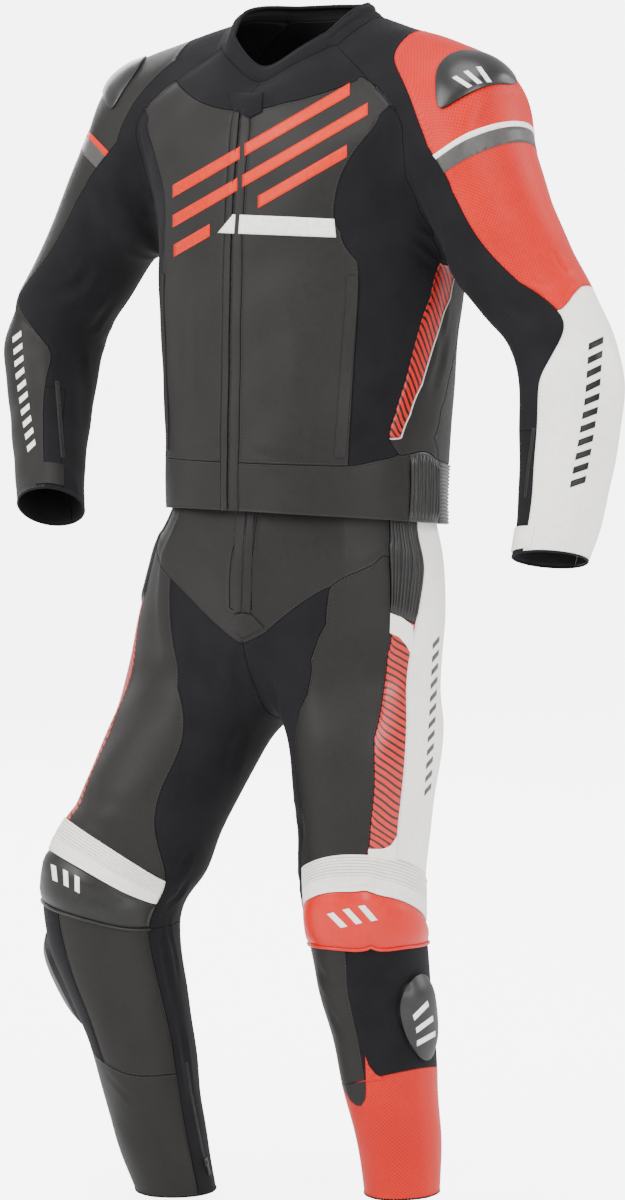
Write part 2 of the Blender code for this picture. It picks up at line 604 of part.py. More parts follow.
def sleeve_ring(row, side):
    """The 22 points of one sleeve ring."""
    keys = ((OUTER - SLEEVE_COLUMNS, 0.0), (FRONT_SEAM, row["front_seam"]), (INNER, 180.0),
            (BACK_SEAM, BACK_SEAM_ANGLE), (OUTER, 360.0), (FRONT_SEAM + SLEEVE_COLUMNS, 360.0 + row["front_seam"]))
    roll, pitch = radians(row["roll"]), radians(row["pitch"])
    outer = np.array([cos(roll), 0, sin(roll)])
    front = np.array([0, -cos(pitch), sin(pitch)])
    centre = np.array([row["x"], row["y"], row["z"]], float)
    points = []
    for j in range(SLEEVE_COLUMNS):
        angle = radians(float(np.interp(j, [k for k, _ in keys], [a for _, a in keys])))
        p = centre + outer * row["wide"] * cos(angle) + front * row["deep"] * sin(angle)
        points.append(p * (side, 1, 1))
    return points


def build_sleeve(skin, name, side, armhole):
    """Rings from the armhole to the cuff; each column is a smooth curve along the arm."""
    c, s = cos(radians(-skin.turn)), sin(radians(-skin.turn))
    start = [(c * x - s * y, s * x + c * y, z) for x, y, z in (skin.points[v] for v in armhole)]
    rings = [start] + [sleeve_ring(row, side) for row in SLEEVE[name]]
    columns = [np.array([ring[j] for ring in rings]) for j in range(SLEEVE_COLUMNS)]
    grid = [list(armhole)]
    places = []
    for ring in SLEEVE_RINGS:
        row = []
        for j in range(SLEEVE_COLUMNS):
            if ring == "cap":
                place = CAP_SHARE.get(j, 0.5)
            elif ring == "cap_out":
                place = (CAP_SHARE.get(j, 0.5) + 1) / 2
            elif ring == "elbow":
                place = 4 + ELBOW_SHARE.get(j, 0.6)
            else:
                place = ring
            row.append(skin.add(*spline(range(len(rings)), columns[j], [place])[0]))
        grid.append(row)
        places.append(ring)
    for i in range(len(grid) - 1):
        ring = places[i]                     # name of the ring at the far side of this band
        past_elbow = i > places.index("elbow")
        for j in range(SLEEVE_COLUMNS):
            k = (j + 1) % SLEEVE_COLUMNS
            outer_side = j >= BACK_SEAM or j < FRONT_SEAM
            if outer_side and i > 0:
                piece = ("forearm_" if past_elbow else "shoulder_") + name
            elif FRONT_SEAM <= j < FRONT_SEAM + GUSSET_COLUMNS and past_elbow and ring > GUSSET_FROM:
                piece = "cuff_gusset_" + name
            else:
                piece = "sleeve_stretch_" + name
            skin.quad(grid[i][j], grid[i][k], grid[i + 1][k], grid[i + 1][j], piece, side < 0)
    return grid


# ---------------------------------------------------------------- trousers
def hip_point(z, angle, side):
    """Hip outline at a height; the angle runs from the centre front to the centre back."""
    knots = [-row["z"] for row in HIP]
    names = ("x", "half_left", "half_right", "y_front", "y_back", "cleft")
    x0, left, right, front, back, cleft = spline(knots, [[row[n] for n in names] for row in HIP], [-z])[0]
    turn = radians(angle)
    x = (left if side > 0 else right) * sin(turn)
    y = (front + back) / 2 - (back - front) / 2 * cos(turn)
    draw = cleft * np.exp(-(x / 46.0) ** 2)
    return x0 + side * x, y + (draw if cos(turn) > 0 else -draw), z


def hip_columns(row):
    """Height and angle of the seventeen columns of one hip ring."""
    columns = (FLY, 1, INNER_SEAM, 4, OUTER_SEAM, RIB_SEAM, CENTRE_BACK)
    heights = [row[n] for n in ("centre", "fly", "inner", "mid", "outer", "rib", "back")]
    seams = (FLY, 1, INNER_SEAM, OUTER_SEAM, RIB_SEAM, SIDE_SEAM, CENTRE_BACK)
    angles = [0.0] + [row[n] for n in ("fly_at", "inner_at", "outer_at", "rib_at", "side_at")] + [180.0]
    every = range(CENTRE_BACK + 1)
    return list(zip(np.interp(every, columns, heights), np.interp(every, seams, angles)))


def leg_ring(row, side):
    """The 20 points of one leg ring; angles run from the outer side towards the front."""
    keys = ((FLY, row["front_at"]), (INNER_SEAM, row["inner_at"]), (OUTER_SEAM, row["outer_at"]),
            (RIB_SEAM, row["rib_at"]), (SIDE_SEAM, row["side_at"]), (CENTRE_BACK, row["back_at"] - 360),
            (18, 189 - 360), (LEG_COLUMNS, row["front_at"] - 360))
    points = []
    for j in range(LEG_COLUMNS):
        angle = radians(float(np.interp(j, [k for k, _ in keys], [a for _, a in keys])))
        lift = row["arch"] * max(-0.3, cos(angle - radians(row["arch_at"])))
        points.append((side * (row["x"] + row["wide"] * cos(angle)),
                       row["y"] - row["deep"] * sin(angle), row["z"] + lift))
    return points


def build_trousers():
    skin = Skin()
    hips = {"left": [], "right": []}
    for row in HIP_ROWS:
        columns = hip_columns(row)
        left = [skin.add(*hip_point(z, a, 1)) for z, a in columns]
        right = [skin.add(*hip_point(z, a, -1)) for z, a in columns[1:-1]]
        hips["left"].append(left)
        hips["right"].append([left[0]] + right + [left[-1]])
    crotch = [skin.add(*p) for p in CROTCH]
    grids = {}
    for name, side in SIDES:
        rows = hips[name]
        for i in range(len(HIP_ROWS) - 1):
            for j in range(CENTRE_BACK):
                if j < 1 and i < FLY_FOOT_ROW:
                    piece = "fly_zip"
                elif j < OUTER_SEAM and i < YOKE_ROW:
                    piece = "hip_front_" + name
                elif j < INNER_SEAM:
                    piece = "thigh_stretch_" + name
                elif j < OUTER_SEAM:
                    piece = "thigh_" + name
                elif j < RIB_SEAM:
                    piece = ("hip_rib_" if i < RIB_FOOT_ROW else "thigh_insert_") + name
                else:
                    piece = "side_panel_" + name if j < SIDE_SEAM else "seat"
                skin.quad(rows[i][j], rows[i][j + 1], rows[i + 1][j + 1], rows[i + 1][j], piece, side > 0)
        start = rows[-1] + crotch
        rings = [[skin.points[v] for v in start]] + [leg_ring(row, side) for row in LEG[name]]
        curves = [np.array([ring[j] for ring in rings]) for j in range(LEG_COLUMNS)]
        grid = [start]
        for place in LEG_RINGS:
            grid.append([skin.add(*spline(range(len(rings)), curve, [place])[0]) for curve in curves])
        for i, place in enumerate((0,) + LEG_RINGS[:-1]):
            for j in range(LEG_COLUMNS):
                k = (j + 1) % LEG_COLUMNS
                skin.quad(grid[i][j], grid[i][k], grid[i + 1][k], grid[i + 1][j],
                          leg_piece(place, j, name), side > 0)
        grids[name] = {"hips": rows, "leg": grid}
    skin.finish()
    return skin, grids


def leg_piece(place, j, name):
    """Which piece of the leg a quad belongs to, by its ring place and column."""
    front = INNER_SEAM <= j < SIDE_SEAM
    if place >= GUARD_FOOT and not front:
        return "calf_" + name
    if not front:
        return "seat" if SIDE_SEAM <= j < CENTRE_BACK else "thigh_stretch_" + name
    if place < RIB_TOP:
        if j < OUTER_SEAM:
            return "thigh_" + name
        return ("thigh_insert_" if j < RIB_SEAM else "side_panel_") + name
    if place < GUARD_TOP:
        return "knee_rib_" + name
    if place < GUARD_FOOT:
        return "knee_guard_" + name
    if place < SHIN_SEAM:
        return ("shin_upper_" if j < OUTER_SEAM else "slider_patch_") + name
    return "shin_" + name


def at_place(place):
    """Row of the leg grid at a place of the leg table."""
    return 1 + LEG_RINGS.index(place)


# ---------------------------------------------------------------- the pieces
def pieces_of(skin, skip):
    """The plain pieces of a skin by name."""
    found = {}
    for face, piece in zip(skin.faces, skin.pieces):
        found.setdefault(piece, []).append(face)
    return {name: faces for name, faces in found.items() if name.rsplit("_", 1)[0] not in skip and name not in skip}


def main():
    clear_scene()
    collection = bpy.data.collections.new("race_suit")
    bpy.context.scene.collection.children.link(collection)

    jacket, coat = build_jacket()
    for name, faces in sorted(pieces_of(jacket, {"waist_rib", "waist_back"}).items()):
        solid(collection, name, cut_piece(jacket, faces))
    arm_front = 1 + CHEST_COLUMNS + STRETCH_COLUMNS
    arm_back = arm_front + INSERT_COLUMNS
    back_seam = arm_back + SIDE_COLUMNS
    around = []
    for i in range(WAIST_SEAM_RING + 1):
        around.append(coat["left"]["body"][i][back_seam:] + coat["right"]["body"][i][back_seam:-1][::-1])
    solid(collection, "waist_back", ribbed_piece(jacket, around, BACK_RIBS, BACK_RIB_HEIGHT, True))
    for name, side in SIDES:
        body = coat[name]["body"]
        rib = [row[arm_back:back_seam + 1] for row in body[:WAIST_SEAM_RING + 1]]
        solid(collection, "waist_rib_" + name,
              ribbed_piece(jacket, rib, WAIST_RIBS, WAIST_RIB_HEIGHT, False, flip=side < 0))
        front = np.array([row[:arm_front + 1] for row in body])
        solid(collection, "pocket_welt_" + name,
              laid_on(jacket, front, (2.35, 8.6), ((4.42, 4.82), (4.58, 4.97)), (12, 2), 2.0))
        sleeve = np.array([row + row for row in coat[name]["sleeve"]])
        solid(collection, "shoulder_guard_" + name,
              laid_on(jacket, sleeve, ((2.5, 5.0), (1.8, 3.1)), (19.2, 23.5), (8, 8), 3.0, rounded=True, crown=4.0,
                      rim=0.5))
        solid(collection, "cuff_tab_" + name,
              laid_on(jacket, sleeve, (15.3, 15.9), (24.3, 28.2), (3, 8), 2.0))

    trousers, legs = build_trousers()
    for name, faces in sorted(pieces_of(trousers, {"hip_rib", "knee_rib"}).items()):
        swell = GUARD_SWELL if name.startswith("knee_guard") else 0.0
        solid(collection, name, cut_piece(trousers, faces, swell=swell))
    for name, side in SIDES:
        hips, leg = legs[name]["hips"], legs[name]["leg"]
        rib = [row[OUTER_SEAM:RIB_SEAM + 1] for row in hips[:RIB_FOOT_ROW + 1]]
        solid(collection, "hip_rib_" + name, ribbed_piece(trousers, rib, HIP_RIBS, HIP_RIB_HEIGHT, False, flip=side > 0))
        rib = [row[INNER_SEAM:SIDE_SEAM + 1] for row in leg[at_place(RIB_TOP):at_place(GUARD_TOP) + 1]]
        solid(collection, "knee_rib_" + name, ribbed_piece(trousers, rib, KNEE_RIBS, KNEE_RIB_HEIGHT, True, flip=side > 0))
        solid(collection, "knee_slider_" + name,
              laid_on(trousers, np.array(leg), (8.0, 10.8), (7.8, 10.9), (8, 8), 8.0, lift=1.2, rounded=True,
                      crown=8.0, rim=0.6))


main()
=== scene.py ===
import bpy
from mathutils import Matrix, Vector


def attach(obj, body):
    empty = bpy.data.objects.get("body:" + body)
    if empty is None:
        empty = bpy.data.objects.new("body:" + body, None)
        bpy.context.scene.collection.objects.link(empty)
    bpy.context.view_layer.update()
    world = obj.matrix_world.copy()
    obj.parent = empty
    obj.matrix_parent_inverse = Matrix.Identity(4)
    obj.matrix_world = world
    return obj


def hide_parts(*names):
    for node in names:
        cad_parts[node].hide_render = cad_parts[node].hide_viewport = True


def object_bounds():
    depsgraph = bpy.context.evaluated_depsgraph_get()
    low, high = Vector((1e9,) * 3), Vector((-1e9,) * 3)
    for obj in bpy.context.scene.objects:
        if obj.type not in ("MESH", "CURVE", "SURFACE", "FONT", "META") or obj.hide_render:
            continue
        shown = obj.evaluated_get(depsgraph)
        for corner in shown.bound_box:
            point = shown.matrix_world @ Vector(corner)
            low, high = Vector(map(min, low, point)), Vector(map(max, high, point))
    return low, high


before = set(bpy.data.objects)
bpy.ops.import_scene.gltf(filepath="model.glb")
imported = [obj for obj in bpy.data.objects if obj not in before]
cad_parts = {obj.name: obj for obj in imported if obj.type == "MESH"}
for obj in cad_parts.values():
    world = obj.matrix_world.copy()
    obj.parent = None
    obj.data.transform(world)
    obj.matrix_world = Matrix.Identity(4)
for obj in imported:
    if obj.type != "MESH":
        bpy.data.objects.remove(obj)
cad_box = [list(corner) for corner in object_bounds()]

import bmesh
import bpy
import math
import numpy as np
from mathutils import Matrix, Vector
from mathutils.bvhtree import BVHTree

MM = 0.001

# ------------------------------------------------------------------ camera
# A long lens at chest height, five metres off the wearer's left front, level with the hands.
AIM = Vector((0.003414, 0.002133, -0.6555))
EYE = AIM + Vector((2.649596, -4.240240, 0.4554))
PICTURE_WIDE, PICTURE_HIGH, MM_PER_PIXEL = 625, 1200, 1.15
camera = bpy.data.objects.new("camera", bpy.data.cameras.new("camera"))
bpy.context.scene.collection.objects.link(camera)
camera.location = EYE
camera.rotation_euler = (AIM - EYE).to_track_quat("-Z", "Y").to_euler()
camera.data.sensor_width = 36.0
camera.data.lens = 36.0 * (AIM - EYE).length / (PICTURE_HIGH * MM_PER_PIXEL * MM)
camera.data.clip_end = 60.0
bpy.context.scene.camera = camera

# ------------------------------------------------------------------ the garments, tacked together
# The jacket and the trousers before their panels are finished: the outside of every cut panel,
# laid edge to edge in one skin, so that neighbours share their seam line and folds can cross it.
JACKET = ("collar", "yoke_left", "yoke_right", "chest_left", "chest_right", "zip_front",
          "side_stretch_left", "side_stretch_right", "side_insert_left", "side_insert_right",
          "back_side_left", "back_side_right", "back", "waistband_left", "waistband_right",
          "waist_rib_left", "waist_rib_right", "waist_back", "sleeve_stretch_left",
          "sleeve_stretch_right", "shoulder_left", "shoulder_right", "forearm_left",
          "forearm_right", "cuff_gusset_left", "cuff_gusset_right")
TROUSERS = ("hip_front_left", "hip_front_right", "fly_zip", "thigh_stretch_left",
            "thigh_stretch_right", "thigh_left", "thigh_right", "hip_rib_left", "hip_rib_right",
            "side_panel_left", "side_panel_right", "thigh_insert_left", "thigh_insert_right",
            "seat", "knee_rib_left", "knee_rib_right", "knee_guard_left", "knee_guard_right",
            "slider_patch_left", "slider_patch_right", "shin_upper_left", "shin_upper_right",
            "shin_left", "shin_right", "calf_left", "calf_right")
RIBBED = ("waist_rib", "waist_back", "hip_rib", "knee_rib")
WALL = 1.6 * MM           # a panel with its lining
TACK = 1.2 * MM           # panels closer than this share a seam line
ROUNDS = 3                # how often each patch is divided


def outside(name):
    """Points and faces of the outside of a panel; a ribbed one is taken from its plain inside."""
    bm = bmesh.new()
    bm.from_mesh(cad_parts[name].data)
    bmesh.ops.remove_doubles(bm, verts=bm.verts, dist=2e-6)
    cut_edge = [f for f in bm.faces if min(e.calc_length() for e in f.edges) < 1.25 * WALL]
    bmesh.ops.delete(bm, geom=cut_edge, context="FACES")
    bmesh.ops.join_triangles(bm, faces=bm.faces[:], angle_face_threshold=math.radians(90),
                             angle_shape_threshold=math.radians(180), topology_influence=1.5)
    bm.normal_update()
    groups, seen = [], set()
    for first in bm.faces:
        if first in seen:
            continue
        seen.add(first)
        group, at = [first], 0
        while at < len(group):
            for edge in group[at].edges:
                for other in edge.link_faces:
                    if other not in seen and group[at].normal.angle(other.normal, 3.0) < math.radians(55):
                        seen.add(other)
                        group.append(other)
            at += 1
        groups.append(group)
    area = {id(g): sum(f.calc_area() for f in g) for g in groups}
    if name.startswith(RIBBED):
        group = max((g for g in groups if area[id(g)] > 2e-3), key=lambda g: area[id(g)] / len(g))
        bmesh.ops.delete(bm, geom=[f for f in bm.faces if f not in set(group)], context="FACES")
        bmesh.ops.reverse_faces(bm, faces=bm.faces[:])
        bm.normal_update()
        for v in bm.verts:
            v.co += v.normal * WALL
    else:
        group = max(groups, key=lambda g: area[id(g)])
        bmesh.ops.delete(bm, geom=[f for f in bm.faces if f not in set(group)], context="FACES")
    bm.verts.index_update()
    points = [v.co.copy() for v in bm.verts]
    faces = [[v.index for v in f.verts] for f in bm.faces]
    bm.free()
    return points, faces


def tack(title, names):
    """One skin of the named panels; each face keeps its panel's number as its material number."""
    points, faces, panel = [], [], []
    for number, name in enumerate(names):
        p, f = outside(name)
        faces += [[v + len(points) for v in face] for face in f]
        points += p
        panel += [number] * len(f)
    mesh = bpy.data.meshes.new(title)
    mesh.from_pydata(points, [], faces)
    for name in names:
        mesh.materials.append(None)
    mesh.polygons.foreach_set("material_index", panel)
    skin = bpy.data.objects.new(title, mesh)
    bpy.context.scene.collection.objects.link(skin)
    bm = bmesh.new()
    bm.from_mesh(mesh)
    bmesh.ops.remove_doubles(bm, verts=bm.verts, dist=TACK)
    for edge in bm.edges:
        edge.seam = len({f.material_index for f in edge.link_faces}) != 1
    bm.to_mesh(mesh)
    bm.free()
    return skin


def apply_modifiers(thing):
    bpy.ops.object.select_all(action="DESELECT")
    thing.select_set(True)
    bpy.context.view_layer.objects.active = thing
    for modifier in list(thing.modifiers):
        bpy.ops.object.modifier_apply(modifier=modifier.name)


def points_of(mesh):
    flat = np.empty(len(mesh.vertices) * 3)
    mesh.vertices.foreach_get("co", flat)
    return flat.reshape(-1, 3)


def normals_of(mesh):
    flat = np.empty(len(mesh.vertices) * 3)
    mesh.vertices.foreach_get("normal", flat)
    return flat.reshape(-1, 3)


def round_out(skin):
    """Flat patches become one smooth skin that still runs through the panels' own corners."""
    flat = points_of(skin.data)
    trial = skin.copy()
    trial.data = skin.data.copy()
    bpy.context.scene.collection.objects.link(trial)
    for thing in (trial, skin):
        smooth = thing.modifiers.new("smooth", "SUBSURF")
        smooth.levels = smooth.render_levels = ROUNDS
        smooth.boundary_smooth = "PRESERVE_CORNERS"
    apply_modifiers(trial)
    drawn_in = flat - points_of(trial.data)[:len(flat)]
    bpy.data.objects.remove(trial)
    skin.data.vertices.foreach_set("co", (flat + 0.85 * drawn_in).ravel())
    apply_modifiers(skin)


def unfold(skin):
    """Each panel laid flat once, which gives its pattern a place to follow."""
    bpy.ops.object.select_all(action="DESELECT")
    skin.select_set(True)
    bpy.context.view_layer.objects.active = skin
    bpy.ops.object.mode_set(mode="EDIT")
    bpy.ops.mesh.select_all(action="SELECT")
    bpy.ops.uv.unwrap(method="ANGLE_BASED", margin=0.0)
    bpy.ops.object.mode_set(mode="OBJECT")


skins = {"jacket": (tack("jacket", JACKET), JACKET), "trousers": (tack("trousers", TROUSERS), TROUSERS)}
for skin, names in skins.values():
    unfold(skin)
    round_out(skin)

# ------------------------------------------------------------------ folds of the worn suit
# Leather and stretch cloth over a body's shape: soft troughs with a raised bank on each side, at
# the elbows, underarms, waist, crotch and knees, longer and deeper where the limb bends.


def surface_of(*things):
    """A tree that answers where a line of sight meets the suit, or which point of it is nearest."""
    points, faces = [], []
    for thing in things:
        faces += [[v + len(points) for v in f.vertices] for f in thing.data.polygons]
        points += [v.co.copy() for v in thing.data.vertices]
    return BVHTree.FromPolygons(points, faces)


tree = surface_of(skins["jacket"][0], skins["trousers"][0])
lens_frame = camera.matrix_basis


def seen(x, y, surface=None):
    """The suit's point and normal in line with a place of the picture, in pixels of 625 by 1200."""
    surface = surface or tree
    across, up = (x - PICTURE_WIDE / 2) * MM_PER_PIXEL * MM, (PICTURE_HIGH / 2 - y) * MM_PER_PIXEL * MM
    target = lens_frame @ Vector((across, up, -(AIM - EYE).length))
    place, normal, _, _ = surface.ray_cast(EYE, (target - EYE).normalized())
    if place is None:
        place, normal, _, _ = surface.find_nearest(target)
    return place, normal


def near(x, y, z):
    place, normal, _, _ = tree.find_nearest(Vector((x, y, z)))
    return place, normal


def fold(points, shift, path, width, depth, bank=0.5):
    """A trough along a path, its depth fading to nothing at both ends."""
    path = np.array([tuple(p) for p in path])
    lengths = np.linalg.norm(np.diff(path, axis=0), axis=1)
    reach = width * 3.4
    close = np.where(((points > path.min(0) - reach) & (points < path.max(0) + reach)).all(axis=1))[0]
    if not len(close):
        return
    near_by = points[close]
    best, along, start = np.full(len(close), 1e9), np.zeros(len(close)), 0.0
    for a, b, length in zip(path, path[1:], lengths):
        t = np.clip((near_by - a) @ (b - a) / length**2, 0, 1)
        away = np.linalg.norm(near_by - a - t[:, None] * (b - a), axis=1)
        nearer = away < best
        best[nearer] = away[nearer]
        along[nearer] = (start + t[nearer] * length) / lengths.sum()
        start += length
    fade = np.sin(np.pi * np.clip(along, 0, 1)) ** 0.7
    shape = -np.exp(-(best / width) ** 2) + bank * np.exp(-((best - 1.8 * width) / (0.8 * width)) ** 2)
    shift[close] += depth * fade * shape


# Each row: where the fold runs in the picture, then its width and depth in millimetres.
FOLDS_SEEN = (
    # under the left arm and along the stretch panel of the chest
    (((408, 232), (424, 243), (440, 258)), 4.5, 2.2), (((402, 247), (420, 256), (434, 270)), 4.0, 1.8),
    (((346, 200), (372, 218), (400, 236)), 3.5, 1.0), (((415, 222), (432, 232), (446, 246)), 4.0, 1.6),
    (((365, 150), (385, 175), (394, 208)), 12, 1.6), (((372, 320), (385, 345), (384, 375)), 12, 1.2),
    # left sleeve: inner elbow, red leather above the elbow, white forearm
    (((536, 262), (552, 268), (572, 262)), 4.0, 1.7), (((548, 250), (560, 262), (566, 274)), 3.0, 1.5),
    (((470, 205), (500, 222), (536, 226)), 8, 1.1), (((520, 275), (545, 284), (578, 276)), 5.0, 1.6),
    (((500, 290), (522, 312), (545, 330)), 7, 2.0), (((488, 275), (505, 300), (524, 318)), 6, 1.6),
    (((575, 320), (600, 345), (612, 385)), 9, 1.4), (((548, 350), (556, 390), (553, 420)), 9, 1.0),
    (((560, 470), (580, 480), (602, 470)), 6, 1.3), (((540, 500), (560, 512), (590, 510)), 5, 1.1),
    (((400, 110), (412, 150), (432, 185)), 11, 1.5), (((455, 228), (470, 262), (500, 300)), 9, 1.4),
    # right sleeve
    (((96, 262), (78, 286), (52, 296)), 7, 2.2), (((106, 286), (90, 306), (64, 312)), 6, 2.0),
    (((112, 302), (96, 326), (76, 330)), 6, 1.6), (((120, 168), (136, 205), (150, 236)), 10, 1.5),
    (((86, 190), (92, 215), (86, 240)), 10, 1.1), (((74, 345), (84, 385), (82, 425)), 9, 1.2),
    (((140, 190), (150, 214), (160, 226)), 6, 1.6), (((28, 330), (36, 372), (40, 410)), 9, 1.0),
    (((60, 470), (74, 486), (90, 488)), 5, 1.1),
    # body of the jacket
    (((180, 300), (186, 350), (182, 410)), 12, 1.2), (((205, 250), (212, 320), (206, 400)), 14, 0.9),
    (((262, 300), (272, 360), (266, 430)), 16, 0.9), (((310, 310), (318, 360), (312, 425)), 13, 0.8),
    (((176, 452), (205, 446), (232, 450)), 6, 1.0), (((250, 452), (290, 460), (335, 462)), 6, 1.0),
    (((410, 300), (402, 345), (392, 400)), 8, 1.0), (((446, 330), (440, 365), (430, 395)), 6, 1.6),
    (((350, 445), (372, 430), (392, 426)), 7, 1.4), (((445, 290), (444, 316), (438, 345)), 5, 1.2),
    # hips and crotch
    (((258, 640), (282, 660), (300, 684)), 7, 2.4), (((240, 646), (236, 672), (248, 700)), 7, 2.0),
    (((262, 668), (275, 690), (280, 716)), 6, 2.0), (((226, 632), (214, 668), (206, 706)), 10, 1.5),
    (((250, 720), (236, 752), (228, 790)), 9, 1.5), (((206, 620), (196, 650), (190, 690)), 11, 1.0),
    (((345, 590), (330, 640), (318, 700)), 13, 1.0), (((180, 640), (160, 700), (150, 760)), 16, 0.9),
    (((336, 700), (345, 760), (342, 820)), 16, 0.9), (((195, 520), (215, 545), (228, 580)), 12, 0.9),
    (((265, 530), (300, 545), (350, 540)), 13, 0.8), (((290, 790), (300, 820), (304, 850)), 7, 1.2),
    # knees and shins
    (((172, 880), (182, 868), (190, 850)), 6, 2.2), (((166, 905), (178, 896), (186, 880)), 5, 2.2),
    (((300, 885), (294, 872), (290, 850)), 6, 1.6), (((70, 780), (95, 800), (130, 808)), 9, 1.2),
    (((340, 905), (362, 912), (400, 906)), 8, 1.8), (((352, 925), (376, 928), (398, 918)), 5, 1.3),
    (((90, 890), (112, 900), (146, 902)), 8, 1.4), (((64, 880), (80, 892), (100, 898)), 7, 1.0),
    (((318, 968), (330, 985), (344, 992)), 7, 1.5), (((330, 1010), (340, 1030), (352, 1038)), 6, 1.2),
    (((112, 950), (128, 990), (126, 1040)), 15, 1.1), (((104, 1070), (130, 1098), (166, 1094)), 3.5, 1.3),
    (((120, 1110), (138, 1140), (150, 1168)), 12, 1.0), (((374, 1100), (392, 1122), (420, 1120)), 9, 1.0),
    (((380, 1140), (396, 1158), (420, 1150)), 8, 0.9), (((160, 930), (168, 975), (176, 1010)), 5, 1.6),
    (((176, 1010), (186, 1060), (190, 1100)), 5, 1.8), (((168, 915), (174, 950), (180, 985)), 4, 1.4),
)
# The same on the sides that face away, by places near the suit in metres.
FOLDS_BEHIND = (
    (((-0.19, 0.16, -0.150), (0.00, 0.16, -0.154), (0.19, 0.16, -0.150)), 2.6, 1.0),
    (((-0.10, 0.14, -0.40), (0.00, 0.15, -0.42), (0.10, 0.14, -0.40)), 11, 2.2),
    (((-0.12, 0.14, -0.45), (-0.03, 0.15, -0.44), (0.06, 0.15, -0.46)), 9, 1.8),
    (((0.06, 0.14, -0.36), (0.11, 0.12, -0.34), (0.15, 0.09, -0.31)), 9, 1.6),
    (((-0.06, 0.14, -0.36), (-0.11, 0.12, -0.33), (-0.15, 0.08, -0.30)), 9, 1.7),
    (((0.13, 0.11, -0.12), (0.15, 0.11, -0.20), (0.16, 0.09, -0.27)), 11, 2.0),
    (((-0.13, 0.11, -0.12), (-0.15, 0.11, -0.19), (-0.17, 0.08, -0.26)), 11, 1.9),
    (((0.03, 0.14, -0.10), (0.02, 0.15, -0.17), (0.03, 0.15, -0.24)), 14, 1.2),
    (((-0.06, 0.13, -0.09), (-0.05, 0.14, -0.16), (-0.06, 0.15, -0.23)), 13, 1.1),
    (((0.22, 0.06, -0.22), (0.25, 0.07, -0.24), (0.28, 0.06, -0.26)), 7, 1.8),
    (((0.36, 0.05, -0.34), (0.33, 0.06, -0.36), (0.31, 0.04, -0.38)), 7, 2.0),
    (((0.38, 0.04, -0.38), (0.35, 0.05, -0.40), (0.33, 0.03, -0.42)), 6, 1.6),
    (((-0.39, 0.05, -0.33), (-0.36, 0.06, -0.35), (-0.33, 0.05, -0.36)), 7, 2.0),
    (((-0.41, 0.03, -0.37), (-0.38, 0.04, -0.39), (-0.35, 0.03, -0.41)), 6, 1.6),
    (((-0.09, 0.12, -0.62), (-0.03, 0.10, -0.70), (-0.01, 0.06, -0.77)), 11, 2.2),
    (((0.08, 0.12, -0.62), (0.02, 0.10, -0.70), (0.00, 0.06, -0.77)), 11, 2.2),
    (((-0.14, 0.09, -0.79), (-0.08, 0.10, -0.80), (-0.03, 0.06, -0.80)), 9, 2.0),
    (((0.13, 0.10, -0.80), (0.08, 0.11, -0.81), (0.02, 0.06, -0.80)), 9, 2.0),
    (((0.15, 0.05, -1.00), (0.10, 0.07, -1.02), (0.05, 0.04, -1.00)), 8, 2.6),
    (((0.14, 0.05, -1.04), (0.10, 0.07, -1.06), (0.06, 0.05, -1.05)), 7, 2.2),
    (((0.14, 0.05, -0.96), (0.09, 0.07, -0.975), (0.05, 0.04, -0.96)), 8, 2.0),
    (((-0.25, 0.00, -0.97), (-0.20, 0.00, -1.00), (-0.14, -0.02, -0.98)), 8, 2.6),
    (((-0.25, 0.00, -1.02), (-0.20, 0.00, -1.04), (-0.15, -0.02, -1.02)), 7, 2.2),
    (((-0.23, 0.00, -0.93), (-0.18, 0.01, -0.95), (-0.13, -0.01, -0.94)), 8, 2.0),
    (((-0.20, 0.00, -1.12), (-0.18, 0.01, -1.18), (-0.16, 0.01, -1.24)), 11, 1.3),
    (((0.10, 0.08, -1.14), (0.11, 0.08, -1.20), (0.11, 0.08, -1.26)), 11, 1.3),
)
sight = [([seen(*p)[0] for p in path], width * MM, depth * MM) for path, width, depth in FOLDS_SEEN]
sight += [([near(*p)[0] for p in path], width * MM, depth * MM) for path, width, depth in FOLDS_BEHIND]
NECK_DIP = 11 * MM        # how far the front of the collar drops to its middle
dip, _ = seen(258, 72)
for skin, names in skins.values():
    points, normals = points_of(skin.data), normals_of(skin.data)
    if skin.name == "jacket":
        aside = np.exp(-((points[:, 0] - dip.x) / 0.034) ** 2) * (np.abs(points[:, 1] - dip.y) < 0.07)
        up = np.clip((points[:, 2] - dip.z + 0.030) / 0.026, 0, 1)
        points[:, 2] -= NECK_DIP * aside * up
    shift = np.zeros(len(points))
    for path, width, depth in sight:
        fold(points, shift, path, width, depth)
    rolling = (0.55 * np.sin(points @ (38, 21, 29) + 0.6 * np.sin(points @ (-17, 52, 11)))
               + 0.35 * np.sin(points @ (-61, 47, 73) + 1.1)) * MM
    shift += rolling
    skin.data.vertices.foreach_set("co", (points + normals * shift[:, None]).ravel())
    skin.data.update()
tree = surface_of(skins["jacket"][0], skins["trousers"][0])

# ------------------------------------------------------------------ cutting the panels free
# Every panel is cut from the skin along its seams; its edge is turned down into the seam, as a
# sewn edge is, and it gets a lining 1.4 mm under its face.
FACE_TO_LINING = 1.4 * MM
EDGE_TURN, EDGE_DROP = 2.0 * MM, 0.9 * MM


def table_of(skin):
    """The skin's points, corners, panel numbers and laid-flat places as tables."""
    mesh = skin.data
    corners = np.empty(len(mesh.loops), int)
    mesh.loops.foreach_get("vertex_index", corners)
    panel = np.empty(len(mesh.polygons), int)
    mesh.polygons.foreach_get("material_index", panel)
    flat = np.empty(len(mesh.loops) * 2)
    mesh.uv_layers[0].data.foreach_get("uv", flat)
    return points_of(mesh), corners.reshape(-1, 4), panel, flat.reshape(-1, 4, 2), normals_of(mesh)


